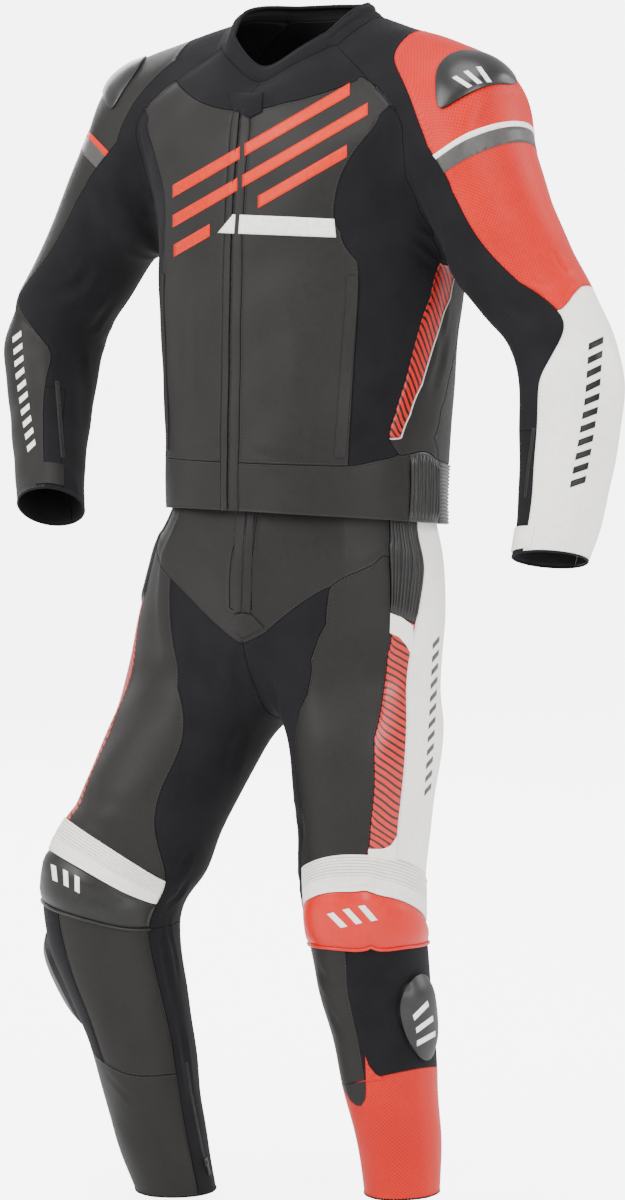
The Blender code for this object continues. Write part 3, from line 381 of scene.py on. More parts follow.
tables = {title: table_of(skin) for title, (skin, names) in skins.items()}


def give_back(title, name, beside):
    """Gives the outermost faces of a panel to the panels beside it, where rounding has widened it."""
    _, corners, panel, _, _ = tables[title]
    names = skins[title][1]
    owners, given = {}, {}
    for k, face in enumerate(corners.tolist()):
        for a, b in zip(face, face[1:] + face[:1]):
            owners.setdefault(frozenset((a, b)), []).append(k)
    for pair in owners.values():
        for mine, other in (pair, pair[::-1]) if len(pair) == 2 else ():
            if names[panel[mine]] == name and names[panel[other]].startswith(beside):
                given[mine] = panel[other]
    for k, label in given.items():
        panel[k] = label


give_back("trousers", "fly_zip", "hip_front")
edge_lines = {}           # the stitching line of each panel, and the way its edge faces


def metres_flat(points, faces, flat):
    """Laid-flat places scaled to metres and turned so that the panel's length runs along V."""
    a, b, c, d = (points[faces[:, k]] for k in range(4))
    real = np.linalg.norm(np.cross(c - a, d - b), axis=1).sum() / 2
    a, b, c, d = (flat[:, k] for k in range(4))
    drawn = np.abs((c - a)[:, 0] * (d - b)[:, 1] - (c - a)[:, 1] * (d - b)[:, 0]).sum() / 2
    even = (flat - flat.mean((0, 1))) * (real / drawn) ** 0.5
    _, axes = np.linalg.eigh(np.cov(even.reshape(-1, 2).T))
    if np.linalg.det(axes) < 0:
        axes[:, 0] *= -1
    return even @ axes


def plain_mesh(name, points, faces, flat=None):
    mesh = bpy.data.meshes.new(name)
    mesh.from_pydata([tuple(p) for p in points], [], [tuple(int(v) for v in f) for f in faces])
    if flat is not None:
        layer = mesh.uv_layers.new(name="laid_flat")
        layer.data.foreach_set("uv", np.asarray(flat, float).ravel())
    thing = bpy.data.objects.new(name, mesh)
    bpy.context.scene.collection.objects.link(thing)
    return thing


def rings_of(edges):
    """Edges, as pairs of ends, joined into rows."""
    step = {}
    for a, b in edges:
        step.setdefault(a, []).append(b)
        step.setdefault(b, []).append(a)
    rows = []
    while step:
        start = next(iter(step))
        row, here = [start], start
        while step.get(here):
            there = step[here].pop()
            step[there].remove(here)
            row.append(there)
            here = there
        step = {v: n for v, n in step.items() if n}
        rows.append(row)
    return rows


def cut(name, title):
    """The panel as its own piece, its edge turned down, with the line where it is stitched."""
    points, corners, panel, flat, normals = tables[title]
    mine = panel == skins[title][1].index(name)
    used, local = np.unique(corners[mine], return_inverse=True)
    faces = local.reshape(-1, 4)
    flat = metres_flat(points[used], faces, flat[mine])
    thing = plain_mesh(name + "_cut", points[used], faces, flat)
    bm = bmesh.new()
    bm.from_mesh(thing.data)
    bm.verts.ensure_lookup_table()
    outward = {bm.verts[i]: Vector(normals[v]) for i, v in enumerate(used)}
    edge = [v for v in bm.verts if v.is_boundary]
    inner = bm.faces[:]
    room = np.percentile([e.calc_length() for v in edge for e in v.link_edges if not e.is_boundary], 4)
    turn = min(EDGE_TURN, 0.42 * room)
    for share in (1.0, 0.9):
        bmesh.ops.inset_region(bm, faces=inner, use_boundary=True, use_even_offset=False,
                               thickness=turn * share)
    inside = set(inner)
    line = [e for f in inner for e in f.edges if any(g not in inside for g in e.link_faces)]
    rows = rings_of([tuple(e.verts) for e in set(line)])
    edge_lines[name] = [[(v.co.copy(), v.normal.copy()) for v in row] for row in rows]
    bm.normal_update()
    for v in {v for row in rows for v in row}:
        v.co -= v.normal * 0.3 * MM
    for v in edge:
        v.co -= outward[v] * EDGE_DROP
    bm.to_mesh(thing.data)
    bm.free()
    return thing


def crowned(thing, high, reach):
    """Swells a cut panel by high, reached at some way in from its edge."""
    places = points_of(thing.data)
    bm = bmesh.new()
    bm.from_mesh(thing.data)
    edge = np.array([v.co for v in bm.verts if v.is_boundary])
    bm.free()
    inward = np.array([np.linalg.norm(edge - p, axis=1).min() for p in places])
    swell = high * np.sin(np.clip(inward / reach, 0, 1) * np.pi / 2)
    thing.data.vertices.foreach_set("co", (places + normals_of(thing.data) * swell[:, None]).ravel())
    thing.data.update()


def line_with(thing, face_material, lining_material, depth=FACE_TO_LINING):
    """Gives a cut panel its lining and finish."""
    thing.data.materials.append(face_material)
    thing.data.materials.append(lining_material)
    wall = thing.modifiers.new("lining", "SOLIDIFY")
    wall.thickness, wall.offset, wall.material_offset, wall.material_offset_rim = depth, -1.0, 1, 0
    apply_modifiers(thing)
    thing.data.polygons.foreach_set("use_smooth", [True] * len(thing.data.polygons))
    return thing


def linear(code):
    """An sRGB hex value as linear colour."""
    parts = [int(code[i:i + 2], 16) / 255 for i in (1, 3, 5)]
    return tuple(p / 12.92 if p <= 0.04045 else ((p + 0.055) / 1.055) ** 2.4 for p in parts) + (1.0,)


def add(material, kind, inputs=(), **settings):
    """One node with its settings; an input is a value or another node's output."""
    node = material.node_tree.nodes.new("ShaderNode" + kind)
    for key, value in settings.items():
        setattr(node, key, value)
    for key, value in dict(inputs).items():
        if isinstance(value, bpy.types.NodeSocket):
            material.node_tree.links.new(value, node.inputs[key])
        else:
            node.inputs[key].default_value = value
    return node


def bare(name):
    """A new material with only its shader, and the shader."""
    material = bpy.data.materials.new(name)
    material.use_nodes = True
    return material, material.node_tree.nodes["Principled BSDF"]


def ramp(material, value, *stops):
    node = add(material, "ValToRGB", {"Fac": value})
    while len(node.color_ramp.elements) > 1:
        node.color_ramp.elements.remove(node.color_ramp.elements[0])
    node.color_ramp.elements[0].position, node.color_ramp.elements[0].color = stops[0]
    for place, colour in stops[1:]:
        node.color_ramp.elements.new(place).color = colour
    return node.outputs["Color"]


def mix(material, share, a, b):
    node = add(material, "Mix", {0: share}, data_type="RGBA")
    for key, value in ((6, a), (7, b)):
        if isinstance(value, bpy.types.NodeSocket):
            material.node_tree.links.new(value, node.inputs[key])
        else:
            node.inputs[key].default_value = value
    return node.outputs[2]


def number(material, what, a, b=0.0):
    return add(material, "Math", {0: a, 1: b}, operation=what).outputs[0]


def leather(name, face, deep, roughness, grain=0.35, holes=0.0, gloss=0.24, painted_valley_shade=0.0):
    """Full-grain cowhide, drum dyed and lightly finished: pebbled grain of about 1.5 mm, tone that
    drifts over a hand's width, drier and lighter on the raised grain.  holes punches it through."""
    material, shader = bare(name)
    place = add(material, "TexCoord").outputs["Object"]
    drift = add(material, "TexNoise", {"Vector": place, "Scale": 11.0, "Detail": 3.0}).outputs["Fac"]
    mottle = add(material, "TexNoise", {"Vector": place, "Scale": 160.0, "Detail": 4.0}).outputs["Fac"]
    pebble = add(material, "TexVoronoi", {"Vector": place, "Scale": 640.0},
                 feature="SMOOTH_F1").outputs["Distance"]
    both = number(material, "ADD", number(material, "MULTIPLY", drift, 0.6),
                  number(material, "MULTIPLY", mottle, 0.4))
    colour = ramp(material, both, (0.36, linear(deep)), (0.62, linear(face)))
    colour = mix(material, number(material, "MULTIPLY", pebble, 0.28), colour, linear(deep))
    height = number(material, "SUBTRACT", number(material, "MULTIPLY", mottle, 0.7), pebble)
    rough = number(material, "MULTIPLY_ADD", mottle, 0.16)
    material.node_tree.nodes[-1].inputs[2].default_value = roughness - 0.08
    if holes:
        flat = add(material, "TexCoord").outputs["UV"]
        turned = add(material, "Mapping", {"Vector": flat, "Rotation": (0, 0, math.radians(45))}).outputs[0]
        grid = add(material, "TexVoronoi", {"Vector": turned, "Scale": 1 / (3.4 * MM), "Randomness": 0.0},
                   voronoi_dimensions="2D").outputs["Distance"]
        hole = number(material, "LESS_THAN", grid, 0.24)
        colour = mix(material, number(material, "MULTIPLY", hole, holes), colour, linear("#120d0c"))
        height = number(material, "SUBTRACT", height, number(material, "MULTIPLY", hole, 2.0))
    bump = add(material, "Bump", {"Height": height, "Strength": grain, "Distance": 0.25 * MM})
    for key, value in (("Base Color", colour), ("Roughness", rough), ("Normal", bump.outputs[0])):
        material.node_tree.links.new(value, shader.inputs[key])
    # Painted shade: the grooves between ribs are darkened toward a deep tone of the leather, darkest where
    # the crest attribute is lowest.
    if painted_valley_shade:
        crest = add(material, "Attribute", attribute_name="crest").outputs["Fac"]
        shade = number(material, "MULTIPLY", number(material, "SUBTRACT", 1.0, crest), painted_valley_shade)
        colour = mix(material, shade, colour, tuple(c * 0.3 for c in linear(deep)[:3]) + (1.0,))
        material.node_tree.links.new(colour, shader.inputs["Base Color"])
    shader.inputs["Specular IOR Level"].default_value = gloss
    shader.inputs["IOR"].default_value = 1.48
    return material


def knit(name, face, deep, pitch, sheen, roughness=0.9):
    """Warp-knitted stretch cloth: columns of loops pitch millimetres apart, dull, with a faint
    bloom where it turns away.  The loops are drawn coarser than they are, so that they show."""
    material, shader = bare(name)
    flat = add(material, "TexCoord").outputs["UV"]
    place = add(material, "TexCoord").outputs["Object"]
    loops = add(material, "TexWave", {"Vector": flat, "Scale": 0.157 / (pitch * MM), "Distortion": 1.2,
                                      "Detail": 1.0, "Detail Scale": 2.0}).outputs["Fac"]
    rows = add(material, "TexWave", {"Vector": flat, "Scale": 0.1 / (pitch * MM), "Distortion": 0.8},
               bands_direction="Y").outputs["Fac"]
    drift = add(material, "TexNoise", {"Vector": place, "Scale": 24.0, "Detail": 4.0}).outputs["Fac"]
    weave = number(material, "MULTIPLY", loops, rows)
    colour = ramp(material, drift, (0.3, linear(deep)), (0.7, linear(face)))
    colour = mix(material, number(material, "MULTIPLY", weave, 0.35), colour, linear(face))
    bump = add(material, "Bump", {"Height": weave, "Strength": 0.3, "Distance": 0.3 * MM})
    material.node_tree.links.new(colour, shader.inputs["Base Color"])
    material.node_tree.links.new(bump.outputs[0], shader.inputs["Normal"])
    shader.inputs["Roughness"].default_value = roughness
    shader.inputs["Specular IOR Level"].default_value = 0.2
    shader.inputs["Sheen Weight"].default_value = sheen
    shader.inputs["Sheen Roughness"].default_value = 0.45
    shader.inputs["Sheen Tint"].default_value = linear("#6c6870")
    return material


# The lining: fixed mesh of black polyester, matt, seen only in the neck and the cuffs.
lining_mesh = knit("lining_black_polyester_mesh", "#1c1b1d", "#121113", 1.6, 0.1)


def finish_panel(name, title, material, swell=0.0):
    """Cuts and lines one panel, which then stands for its node."""
    thing = cut(name, title)
    if swell:
        crowned(thing, swell, 7 * MM)
    line_with(thing, material, lining_mesh)
    thing.name = name + "_sewn"
    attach(thing, "root")
    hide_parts(name)
    return thing


# ------------------------------------------------------------------ charcoal leather panels
# Cowhide 1.2 to 1.4 mm thick, dyed charcoal, semi-matt: chest, back, waistband, hips, thighs, seat
# and shins.  The thighs are punched with fine holes for air.
charcoal = leather("leather_charcoal_full_grain", "#1d1b1a", "#151413", 0.54)
charcoal_holes = leather("leather_charcoal_perforated", "#1e1c1b", "#161413", 0.56, holes=0.7)
CHARCOAL = (    # panel, garment, punched, cut width and length in metres, cut area in square metres
    ("chest_left", "jacket", False, (0.17, 0.42), 0.0571),
    ("chest_right", "jacket", False, (0.17, 0.42), 0.0571),
    ("back_side_left", "jacket", False, (0.06, 0.25), 0.0102),
    ("back_side_right", "jacket", False, (0.06, 0.25), 0.0102),
    ("back", "jacket", False, (0.46, 0.54), 0.2114),
    ("waistband_left", "jacket", False, (0.09, 0.22), 0.0122),
    ("waistband_right", "jacket", False, (0.09, 0.22), 0.0122),
    ("shoulder_right", "jacket", False, (0.28, 0.34), 0.0725),
    ("forearm_right", "jacket", False, (0.22, 0.32), 0.0572),
    ("hip_front_left", "trousers", False, (0.19, 0.22), 0.0250),
    ("hip_front_right", "trousers", False, (0.20, 0.22), 0.0260),
    ("thigh_left", "trousers", True, (0.15, 0.34), 0.0298),
    ("thigh_right", "trousers", True, (0.17, 0.34), 0.0355),
    ("seat", "trousers", False, (0.55, 0.62), 0.1797),
    ("side_panel_right", "trousers", False, (0.18, 0.42), 0.0458),
    ("shin_upper_left", "trousers", False, (0.11, 0.21), 0.0129),
    ("shin_upper_right", "trousers", False, (0.13, 0.21), 0.0180),
    ("shin_right", "trousers", False, (0.26, 0.22), 0.0317),
)
for name, title, punched, size, area in CHARCOAL:
    finish_panel(name, title, charcoal_holes if punched else charcoal)

# ------------------------------------------------------------------ red and white leather panels
# The same hide in a bright coated finish: red on the left shoulder and shin, punched for air, white
# on the left forearm and down the outside of the left thigh.
red = leather("leather_red_coated_perforated", "#c41200", "#b40e00", 0.46, grain=0.25, holes=0.4)
white = leather("leather_white_coated", "#f4f2ee", "#e6e3de", 0.46, grain=0.25)
BRIGHT = (
    ("shoulder_left", "jacket", red, "red_leather", (0.27, 0.34), 0.0686),
    ("shin_left", "trousers", red, "red_leather", (0.24, 0.20), 0.0256),
    ("forearm_left", "jacket", white, "white_leather", (0.22, 0.33), 0.0479),
    ("side_panel_left", "trousers", white, "white_leather", (0.18, 0.42), 0.0450),
)
for name, title, material, slot, size, area in BRIGHT:
    finish_panel(name, title, material)

# ------------------------------------------------------------------ stretch cloth panels
# Black four-way stretch cloth wherever the suit has to give: yoke, chest sides, inner sleeves,
# crotch and calves.
stretch = knit("stretch_knit_black", "#131215", "#0c0b0d", 1.5, 0.08)
STRETCH = (
    ("collar", "jacket", (0.10, 0.26), 0.0105),
    ("yoke_left", "jacket", (0.09, 0.16), 0.0071), ("yoke_right", "jacket", (0.09, 0.16), 0.0071),
    ("side_stretch_left", "jacket", (0.14, 0.42), 0.0268),
    ("side_stretch_right", "jacket", (0.14, 0.42), 0.0268),
    ("sleeve_stretch_left", "jacket", (0.36, 0.66), 0.1024),
    ("sleeve_stretch_right", "jacket", (0.36, 0.66), 0.0997),
    ("cuff_gusset_left", "jacket", (0.06, 0.14), 0.0045),
    ("cuff_gusset_right", "jacket", (0.05, 0.13), 0.0032),
    ("thigh_stretch_left", "trousers", (0.24, 0.46), 0.0518),
    ("thigh_stretch_right", "trousers", (0.25, 0.46), 0.0552),
    ("calf_left", "trousers", (0.21, 0.34), 0.0508), ("calf_right", "trousers", (0.24, 0.36), 0.0587),
)
for name, title, size, area in STRETCH:
    finish_panel(name, title, stretch,
                 swell=2.2 * MM if name == "collar" else 0.0)

# ------------------------------------------------------------------ accordion panels
# Leather gathered over elastic in raised ribs: charcoal at the waist, hips and back, white above
# the knees.  Sewn flat at both ends, so that the suit can bend there.
RIB_SAMPLES = 7           # columns of the mesh to one rib


def rows_of(name, title):
    """Places and outward directions of a banded panel, row by row."""
    points, corners, panel, _, normals = tables[title]
    faces = corners[panel == skins[title][1].index(name)].tolist()
    by_edge, beside = {}, {}
    for face in faces:
        for a, b in zip(face, face[1:] + face[:1]):
            by_edge.setdefault(frozenset((a, b)), []).append(face)
            beside.setdefault(a, set()).add(b)
            beside.setdefault(b, set()).add(a)
    rim = {v: [w for w in beside[v] if len(by_edge[frozenset((v, w))]) == 1] for v in beside}
    corner = next(v for v in beside if len(beside[v]) == 2)
    row = [corner, rim[corner][0]]
    while len(beside[row[-1]]) > 2:
        row.append(next(w for w in rim[row[-1]] if w != row[-2]))
    rows, used = [], set()
    while row:
        rows.append(row)
        after = []
        for a, b in zip(row, row[1:]):
            face = next((f for f in by_edge[frozenset((a, b))] if id(f) not in used), None)
            if face is None:
                break
            used.add(id(face))
            k = face.index(a)
            over = ((face[k - 1], face[(k + 2) % 4]) if face[(k + 1) % 4] == b
                    else (face[(k + 1) % 4], face[(k + 2) % 4]))
            after = (after or [over[0]]) + [over[1]]
        row = after
    rows = np.array(rows)
    return np.concatenate([points[rows], normals[rows]], axis=2)


def runs(places, axis):
    """Distance along each row of a grid, from its start."""
    lengths = np.linalg.norm(np.diff(places, axis=axis), axis=2)
    start = np.zeros((1, lengths.shape[1])) if axis == 0 else np.zeros((lengths.shape[0], 1))
    return np.concatenate([start, np.cumsum(lengths, axis=axis)], axis=axis)


def respaced(grid, shares):
    """The grid with its rows put at the given shares of the way across."""
    run = runs(grid[..., :3], 0)
    run /= run[-1]
    columns = [[np.interp(shares, run[:, j], grid[:, j, k]) for k in range(6)]
               for j in range(grid.shape[1])]
    return np.array(columns).transpose(2, 0, 1)


def grid_piece(name, places, outward, face_material, depth, back_material=None, crest=None):
    """A closed piece depth thick from rows of places; outward tells which side is its face, and
    crest how far up its rib each place is."""
    rows, columns = places.shape[:2]
    order = np.arange(rows * columns).reshape(rows, columns)
    faces = np.stack([order[:-1, :-1], order[:-1, 1:], order[1:, 1:], order[1:, :-1]], -1).reshape(-1, 4)
    at = places.reshape(-1, 3)
    facing = np.cross(at[faces[:, 2]] - at[faces[:, 0]], at[faces[:, 3]] - at[faces[:, 1]])
    if (facing * outward.reshape(-1, 3)[faces[:, 0]]).sum() < 0:
        faces = faces[:, ::-1]
    flat = np.stack([runs(places, 0), runs(places, 1)], -1).reshape(-1, 2)[faces]
    thing = plain_mesh(name, at, faces, flat)
    if crest is not None:
        thing.data.attributes.new("crest", "FLOAT", "POINT").data.foreach_set("value", crest.ravel())
    return line_with(thing, face_material, back_material or face_material, depth)


def accordion(name, title, ribs, high, material, only=1.0):
    """Ribs along the longer way of a panel, standing high metres; only is the ribbed share."""
    grid = rows_of(name, title)
    if runs(grid[..., :3], 1)[len(grid) // 2, -1] < runs(grid[..., :3], 0)[-1, grid.shape[1] // 2]:
        grid = grid.transpose(1, 0, 2)
    if only < 1.0 and grid[0, :, 2].mean() < grid[-1, :, 2].mean():
        grid = grid[::-1]
    share = np.linspace(0, 1, ribs * RIB_SAMPLES + 1)
    fine = respaced(grid, share).transpose(1, 0, 2)
    fine = respaced(fine, np.linspace(0, 1, max(fine.shape[0], 49))).transpose(1, 0, 2)
    along = runs(fine[..., :3], 1)
    ends = np.sin(np.clip(np.minimum(along, along[:, -1:] - along) / (13 * MM), 0, 1) * np.pi / 2) ** 1.5
    uneven = 1 + 0.14 * np.sin(share * 41)[:, None] + 0.10 * np.sin(along * 90 + share[:, None] * 23)
    crest = np.abs(np.sin(np.pi * share * ribs))[:, None] ** 0.6 * ends
    if only < 1.0:
        crest *= np.clip((only - share) / 0.06, 0, 1)[:, None]
        crest += (1 - crest) * np.clip((share - only + 0.06) / 0.06, 0, 1)[:, None]
    crest += (1 - crest) * (1 - ends)
    lift = high * (crest - (1 - ends) if only == 1.0 else crest * ends) * uneven
    for rim in (lift[0], lift[-1], lift[:, 0], lift[:, -1]):
        rim[:] = -EDGE_DROP
    outward = fine[..., 3:] / np.linalg.norm(fine[..., 3:], axis=2, keepdims=True)
    thing = grid_piece(name + "_sewn", fine[..., :3] + outward * lift[..., None], outward, material,
                       1.4 * MM, lining_mesh, crest)
    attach(thing, "root")
    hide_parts(name)


# The rib leathers paint shade into the grooves between the ribs, darkest at the groove bottoms.
rib_black = leather("leather_accordion_charcoal_glossy", "#262524", "#181716", 0.36, grain=0.2, gloss=0.4,
                    painted_valley_shade=0.9)
rib_white = leather("leather_accordion_white", "#f4f1ea", "#e2ddd4", 0.5, grain=0.2, painted_valley_shade=0.5)
accordion("waist_rib_left", "jacket", 9, 2.2 * MM, rib_black)
accordion("waist_rib_right", "jacket", 9, 2.2 * MM, rib_black)
accordion("waist_back", "jacket", 17, 1.6 * MM, rib_black)
accordion("hip_rib_left", "trousers", 10, 2.4 * MM, rib_black)
accordion("hip_rib_right", "trousers", 10, 2.4 * MM, rib_black)
accordion("knee_rib_left", "trousers", 12, 1.5 * MM, rib_white,
          only=0.62)
accordion("knee_rib_right", "trousers", 12, 1.5 * MM, rib_white,
          only=0.62)

# ------------------------------------------------------------------ striped inserts
# Red coated leather printed with slanting black bars, let in under the arms and down the outside
# of the thighs.  On the left thigh the print ends in a rounded foot with white leather behind it.


def printed(name, ground, bar, pitch, duty, slant, edge_colour=None):
    """A print of bars pitch metres apart on the laid-flat panel, duty of each pitch dark."""
    material, shader = bare(name)
    flat = add(material, "TexCoord").outputs["UV"]
    place = add(material, "TexCoord").outputs["Object"]
    axes = add(material, "SeparateXYZ", {"Vector": flat}).outputs
    run = number(material, "ADD", axes[1], number(material, "MULTIPLY", axes[0], slant))
    phase = number(material, "FRACT", number(material, "DIVIDE", run, pitch))
    dark = number(material, "LESS_THAN", phase, duty)
    mottle = add(material, "TexNoise", {"Vector": place, "Scale": 160.0, "Detail": 4.0}).outputs["Fac"]
    tone = ramp(material, mottle, (0.3, linear(ground)), (0.7, linear(edge_colour or ground)))
    colour = mix(material, dark, tone, linear(bar))
    bump = add(material, "Bump", {"Height": mottle, "Strength": 0.2, "Distance": 0.2 * MM})
    for key, value in (("Base Color", colour), ("Normal", bump.outputs[0])):
        material.node_tree.links.new(value, shader.inputs[key])
    rough = number(material, "MULTIPLY_ADD", mottle, 0.12)
    material.node_tree.nodes[-1].inputs[2].default_value = 0.28
    material.node_tree.links.new(rough, shader.inputs["Roughness"])
    return material


INSERTS = (     # panel, garment, pitch, dark share, slant, cut size, cut area
    ("side_insert_left", "jacket", 8.6 * MM, 0.42, 0.9, (0.04, 0.20), 0.0056),
    ("side_insert_right", "jacket", 8.6 * MM, 0.42, 0.9, (0.04, 0.20), 0.0056),
    ("thigh_insert_left", "trousers", 8.6 * MM, 0.34, 0.55, (0.06, 0.28), 0.0096),
    ("thigh_insert_right", "trousers", 8.6 * MM, 0.34, 0.55, (0.06, 0.28), 0.0096),
)
for name, title, pitch, duty, slant, size, area in INSERTS:
    material = printed("print_" + name, "#c41200", "#0d0c0c", pitch, duty, slant, "#b40e00")
    finish_panel(name, title, material)

# ------------------------------------------------------------------ knee guards and slider patches
# Foam cups over the knees under stretched leather, red on the left leg and black on the right, each
# closed by a piped lower edge.  Beside them a patch of hook cloth holds the slider.


def seam(title, name, *others):
    """Rows of places and directions along the seam between one panel and others."""
    points, corners, panel, _, normals = tables[title]
    names = skins[title][1]

    def edges(which):
        faces = corners[panel == names.index(which)].tolist()
        return {frozenset(e) for f in faces for e in zip(f, f[1:] + f[:1])}

    shared = edges(name) & set().union(*(edges(other) for other in others))
    rows = rings_of([tuple(e) for e in shared])
    return [[(Vector(points[v]), Vector(normals[v])) for v in row] for row in rows]


def tube(name, rows, radius, material, lift=0.0):
    """Round piping along rows of places."""
    curve = bpy.data.curves.new(name, "CURVE")
    curve.dimensions, curve.bevel_depth, curve.bevel_resolution, curve.use_fill_caps = "3D", radius, 2, True
    for row in rows:
        closed = row[0][0] == row[-1][0]
        row = row[:-1] if closed else row
        line = curve.splines.new("POLY")
        line.points.add(len(row) - 1)
        line.use_cyclic_u = closed
        for point, (place, normal) in zip(line.points, row):
            point.co = (*(place + normal * lift), 1.0)
    thing = bpy.data.objects.new(name, curve)
    bpy.context.scene.collection.objects.link(thing)
    bpy.ops.object.select_all(action="DESELECT")
    thing.select_set(True)
    bpy.context.view_layer.objects.active = thing
    bpy.ops.object.convert(target="MESH")
    thing = bpy.context.active_object
    thing.data.materials.clear()
    thing.data.materials.append(material)
    thing.data.polygons.foreach_set("use_smooth", [True] * len(thing.data.polygons))
    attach(thing, "root")
    return thing


guard_black = leather("leather_guard_black", "#1c1b1a", "#131211", 0.40, grain=0.18, gloss=0.35)
guard_red = leather("leather_guard_red", "#ca1200", "#ba0e00", 0.36, grain=0.15, gloss=0.4)
knee_cups = []
hook_cloth = knit("hook_cloth_black", "#111013", "#08080a", 2.4, 0.25)
for side, material, slot, shin in (("left", guard_red, "red_leather", "shin_upper_left"),
                                   ("right", guard_black, "black_leather", "shin_upper_right")):
    name = "knee_guard_" + side
    thing = cut(name, "trousers")
    crowned(thing, 4.0 * MM, 16 * MM)
    line_with(thing, material, lining_mesh, 5.0 * MM)
    thing.name = name + "_sewn"
    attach(thing, "root")
    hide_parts(name)
    knee_cups.append(thing)
    lower = seam("trousers", name, shin, "slider_patch_" + side)
    tube(name + "_piping", lower, 1.9 * MM, material, 1.2 * MM)
    finish_panel("slider_patch_" + side, "trousers", hook_cloth)
# ------------------------------------------------------------------ front zip and fly
# Coil zips on woven tape, sunk between two stitched leather flaps that almost meet over the teeth.
# A tab of the yoke's cloth closes over the top, and a leather gusset ends the fly.
zip_tape, shader = bare("zip_tape_woven_black")
tape_place = add(zip_tape, "TexCoord").outputs["Object"]
ribs_of_tape = add(zip_tape, "TexWave", {"Vector": tape_place, "Scale": 420.0},
                   bands_direction="Z").outputs["Fac"]
tape_bump = add(zip_tape, "Bump", {"Height": ribs_of_tape, "Strength": 0.5,
                                   "Distance": 0.2 * MM}).outputs[0]
zip_tape.node_tree.links.new(tape_bump, shader.inputs["Normal"])
shader.inputs["Base Color"].default_value = linear("#0c0b0c")
shader.inputs["Roughness"].default_value = 0.75
coil = zip_tape.copy()
coil.name = "zip_coil_nylon_black"
coil.node_tree.nodes["Principled BSDF"].inputs["Roughness"].default_value = 0.35
flap_leather = leather("leather_flap_charcoal", "#1f1d1c", "#171514", 0.54)


def laid_piece(name, thing, slot, *nodes):
    """Rides the suit's one body; its slot is not used; it stands for the nodes given."""
    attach(thing, "root")
    if nodes:
        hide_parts(*nodes)
    return thing


def even_line(line, count):
    """Places of a picture path at even steps."""
    line = np.array(line, float)
    lengths = np.r_[0, np.cumsum(np.linalg.norm(np.diff(line, axis=0), axis=1))]
    at = np.linspace(0, lengths[-1], count)
    return np.stack([np.interp(at, lengths, line[:, 0]), np.interp(at, lengths, line[:, 1])], 1)


def patch_grid(line_a, line_b, count, layers, surface=None):
    """Places and directions of the suit between two picture paths."""
    a, b = even_line(line_a, count), even_line(line_b, count)
    grid = np.zeros((layers, count, 6))
    for i, share in enumerate(np.linspace(0, 1, layers)):
        for j, (x, y) in enumerate(a * (1 - share) + b * share):
            place, normal = seen(x, y, surface)
            grid[i, j] = (*place, *normal)
    return grid


def patch(name, line_a, line_b, count, layers, lift, depth, material, slot, surface=None):
    """A thin piece on the suit between two picture paths, its face lift above the leather."""
    grid = patch_grid(line_a, line_b, count, layers, surface)
    places = grid[..., :3] + grid[..., 3:] * lift
    return laid_piece(name, grid_piece(name, places, grid[..., 3:], material, depth), slot)


def joined(name, things):
    """Several pieces as one."""
    bpy.ops.object.select_all(action="DESELECT")
    for thing in things:
        thing.select_set(True)
    bpy.context.view_layer.objects.active = things[0]
    if len(things) > 1:
        bpy.ops.object.join()
    things[0].name = name
    return things[0]


front = rows_of("zip_front", "jacket")
if front.shape[0] > front.shape[1]:
    front = front.transpose(1, 0, 2)
if front[0, :, 0].mean() < front[-1, :, 0].mean():
    front = front[::-1]                  # from the wearer's left to the right
if front[0, 0, 2] < front[0, -1, 2]:
    front = front[:, ::-1]               # from the neck down to the hem
width_of_tape = runs(front[..., :3], 0)[-1].mean()
sunk = respaced(front, np.linspace(0, 1, 25))
tape = grid_piece("zip_front_tape", sunk[..., :3] - sunk[..., 3:] * 1.2 * MM, sunk[..., 3:], zip_tape,
                  0.9 * MM)
laid_piece("zip_front_tape", tape, "zip_tape", "zip_front")
flaps = []
for name, start, end in (("left", 0.0, 0.5 - 1.0 * MM / width_of_tape),
                         ("right", 0.5 + 2.5 * MM / width_of_tape, 1.0)):
    strip = respaced(front, np.linspace(start, end, 13))
    share = np.linspace(0, 1, 13)
    rise = share if name == "left" else 1 - share          # highest at the free edge
    lift = (0.1 + 1.0 * np.minimum(rise * 2.2, 1.0)) * MM
    lift[0 if name == "right" else -1] -= 0.5 * MM         # the free edge is rounded over
    lift[-1 if name == "right" else 0] = -EDGE_DROP        # the sewn edge goes down into the seam
    places = strip[..., :3] + strip[..., 3:] * lift[:, None, None]
    flap = grid_piece("zip_flap_" + name, places, strip[..., 3:], flap_leather, 1.2 * MM, lining_mesh)
    flaps.append(laid_piece(flap.name, flap, "charcoal_leather"))
TOOTH = 1.6 * MM


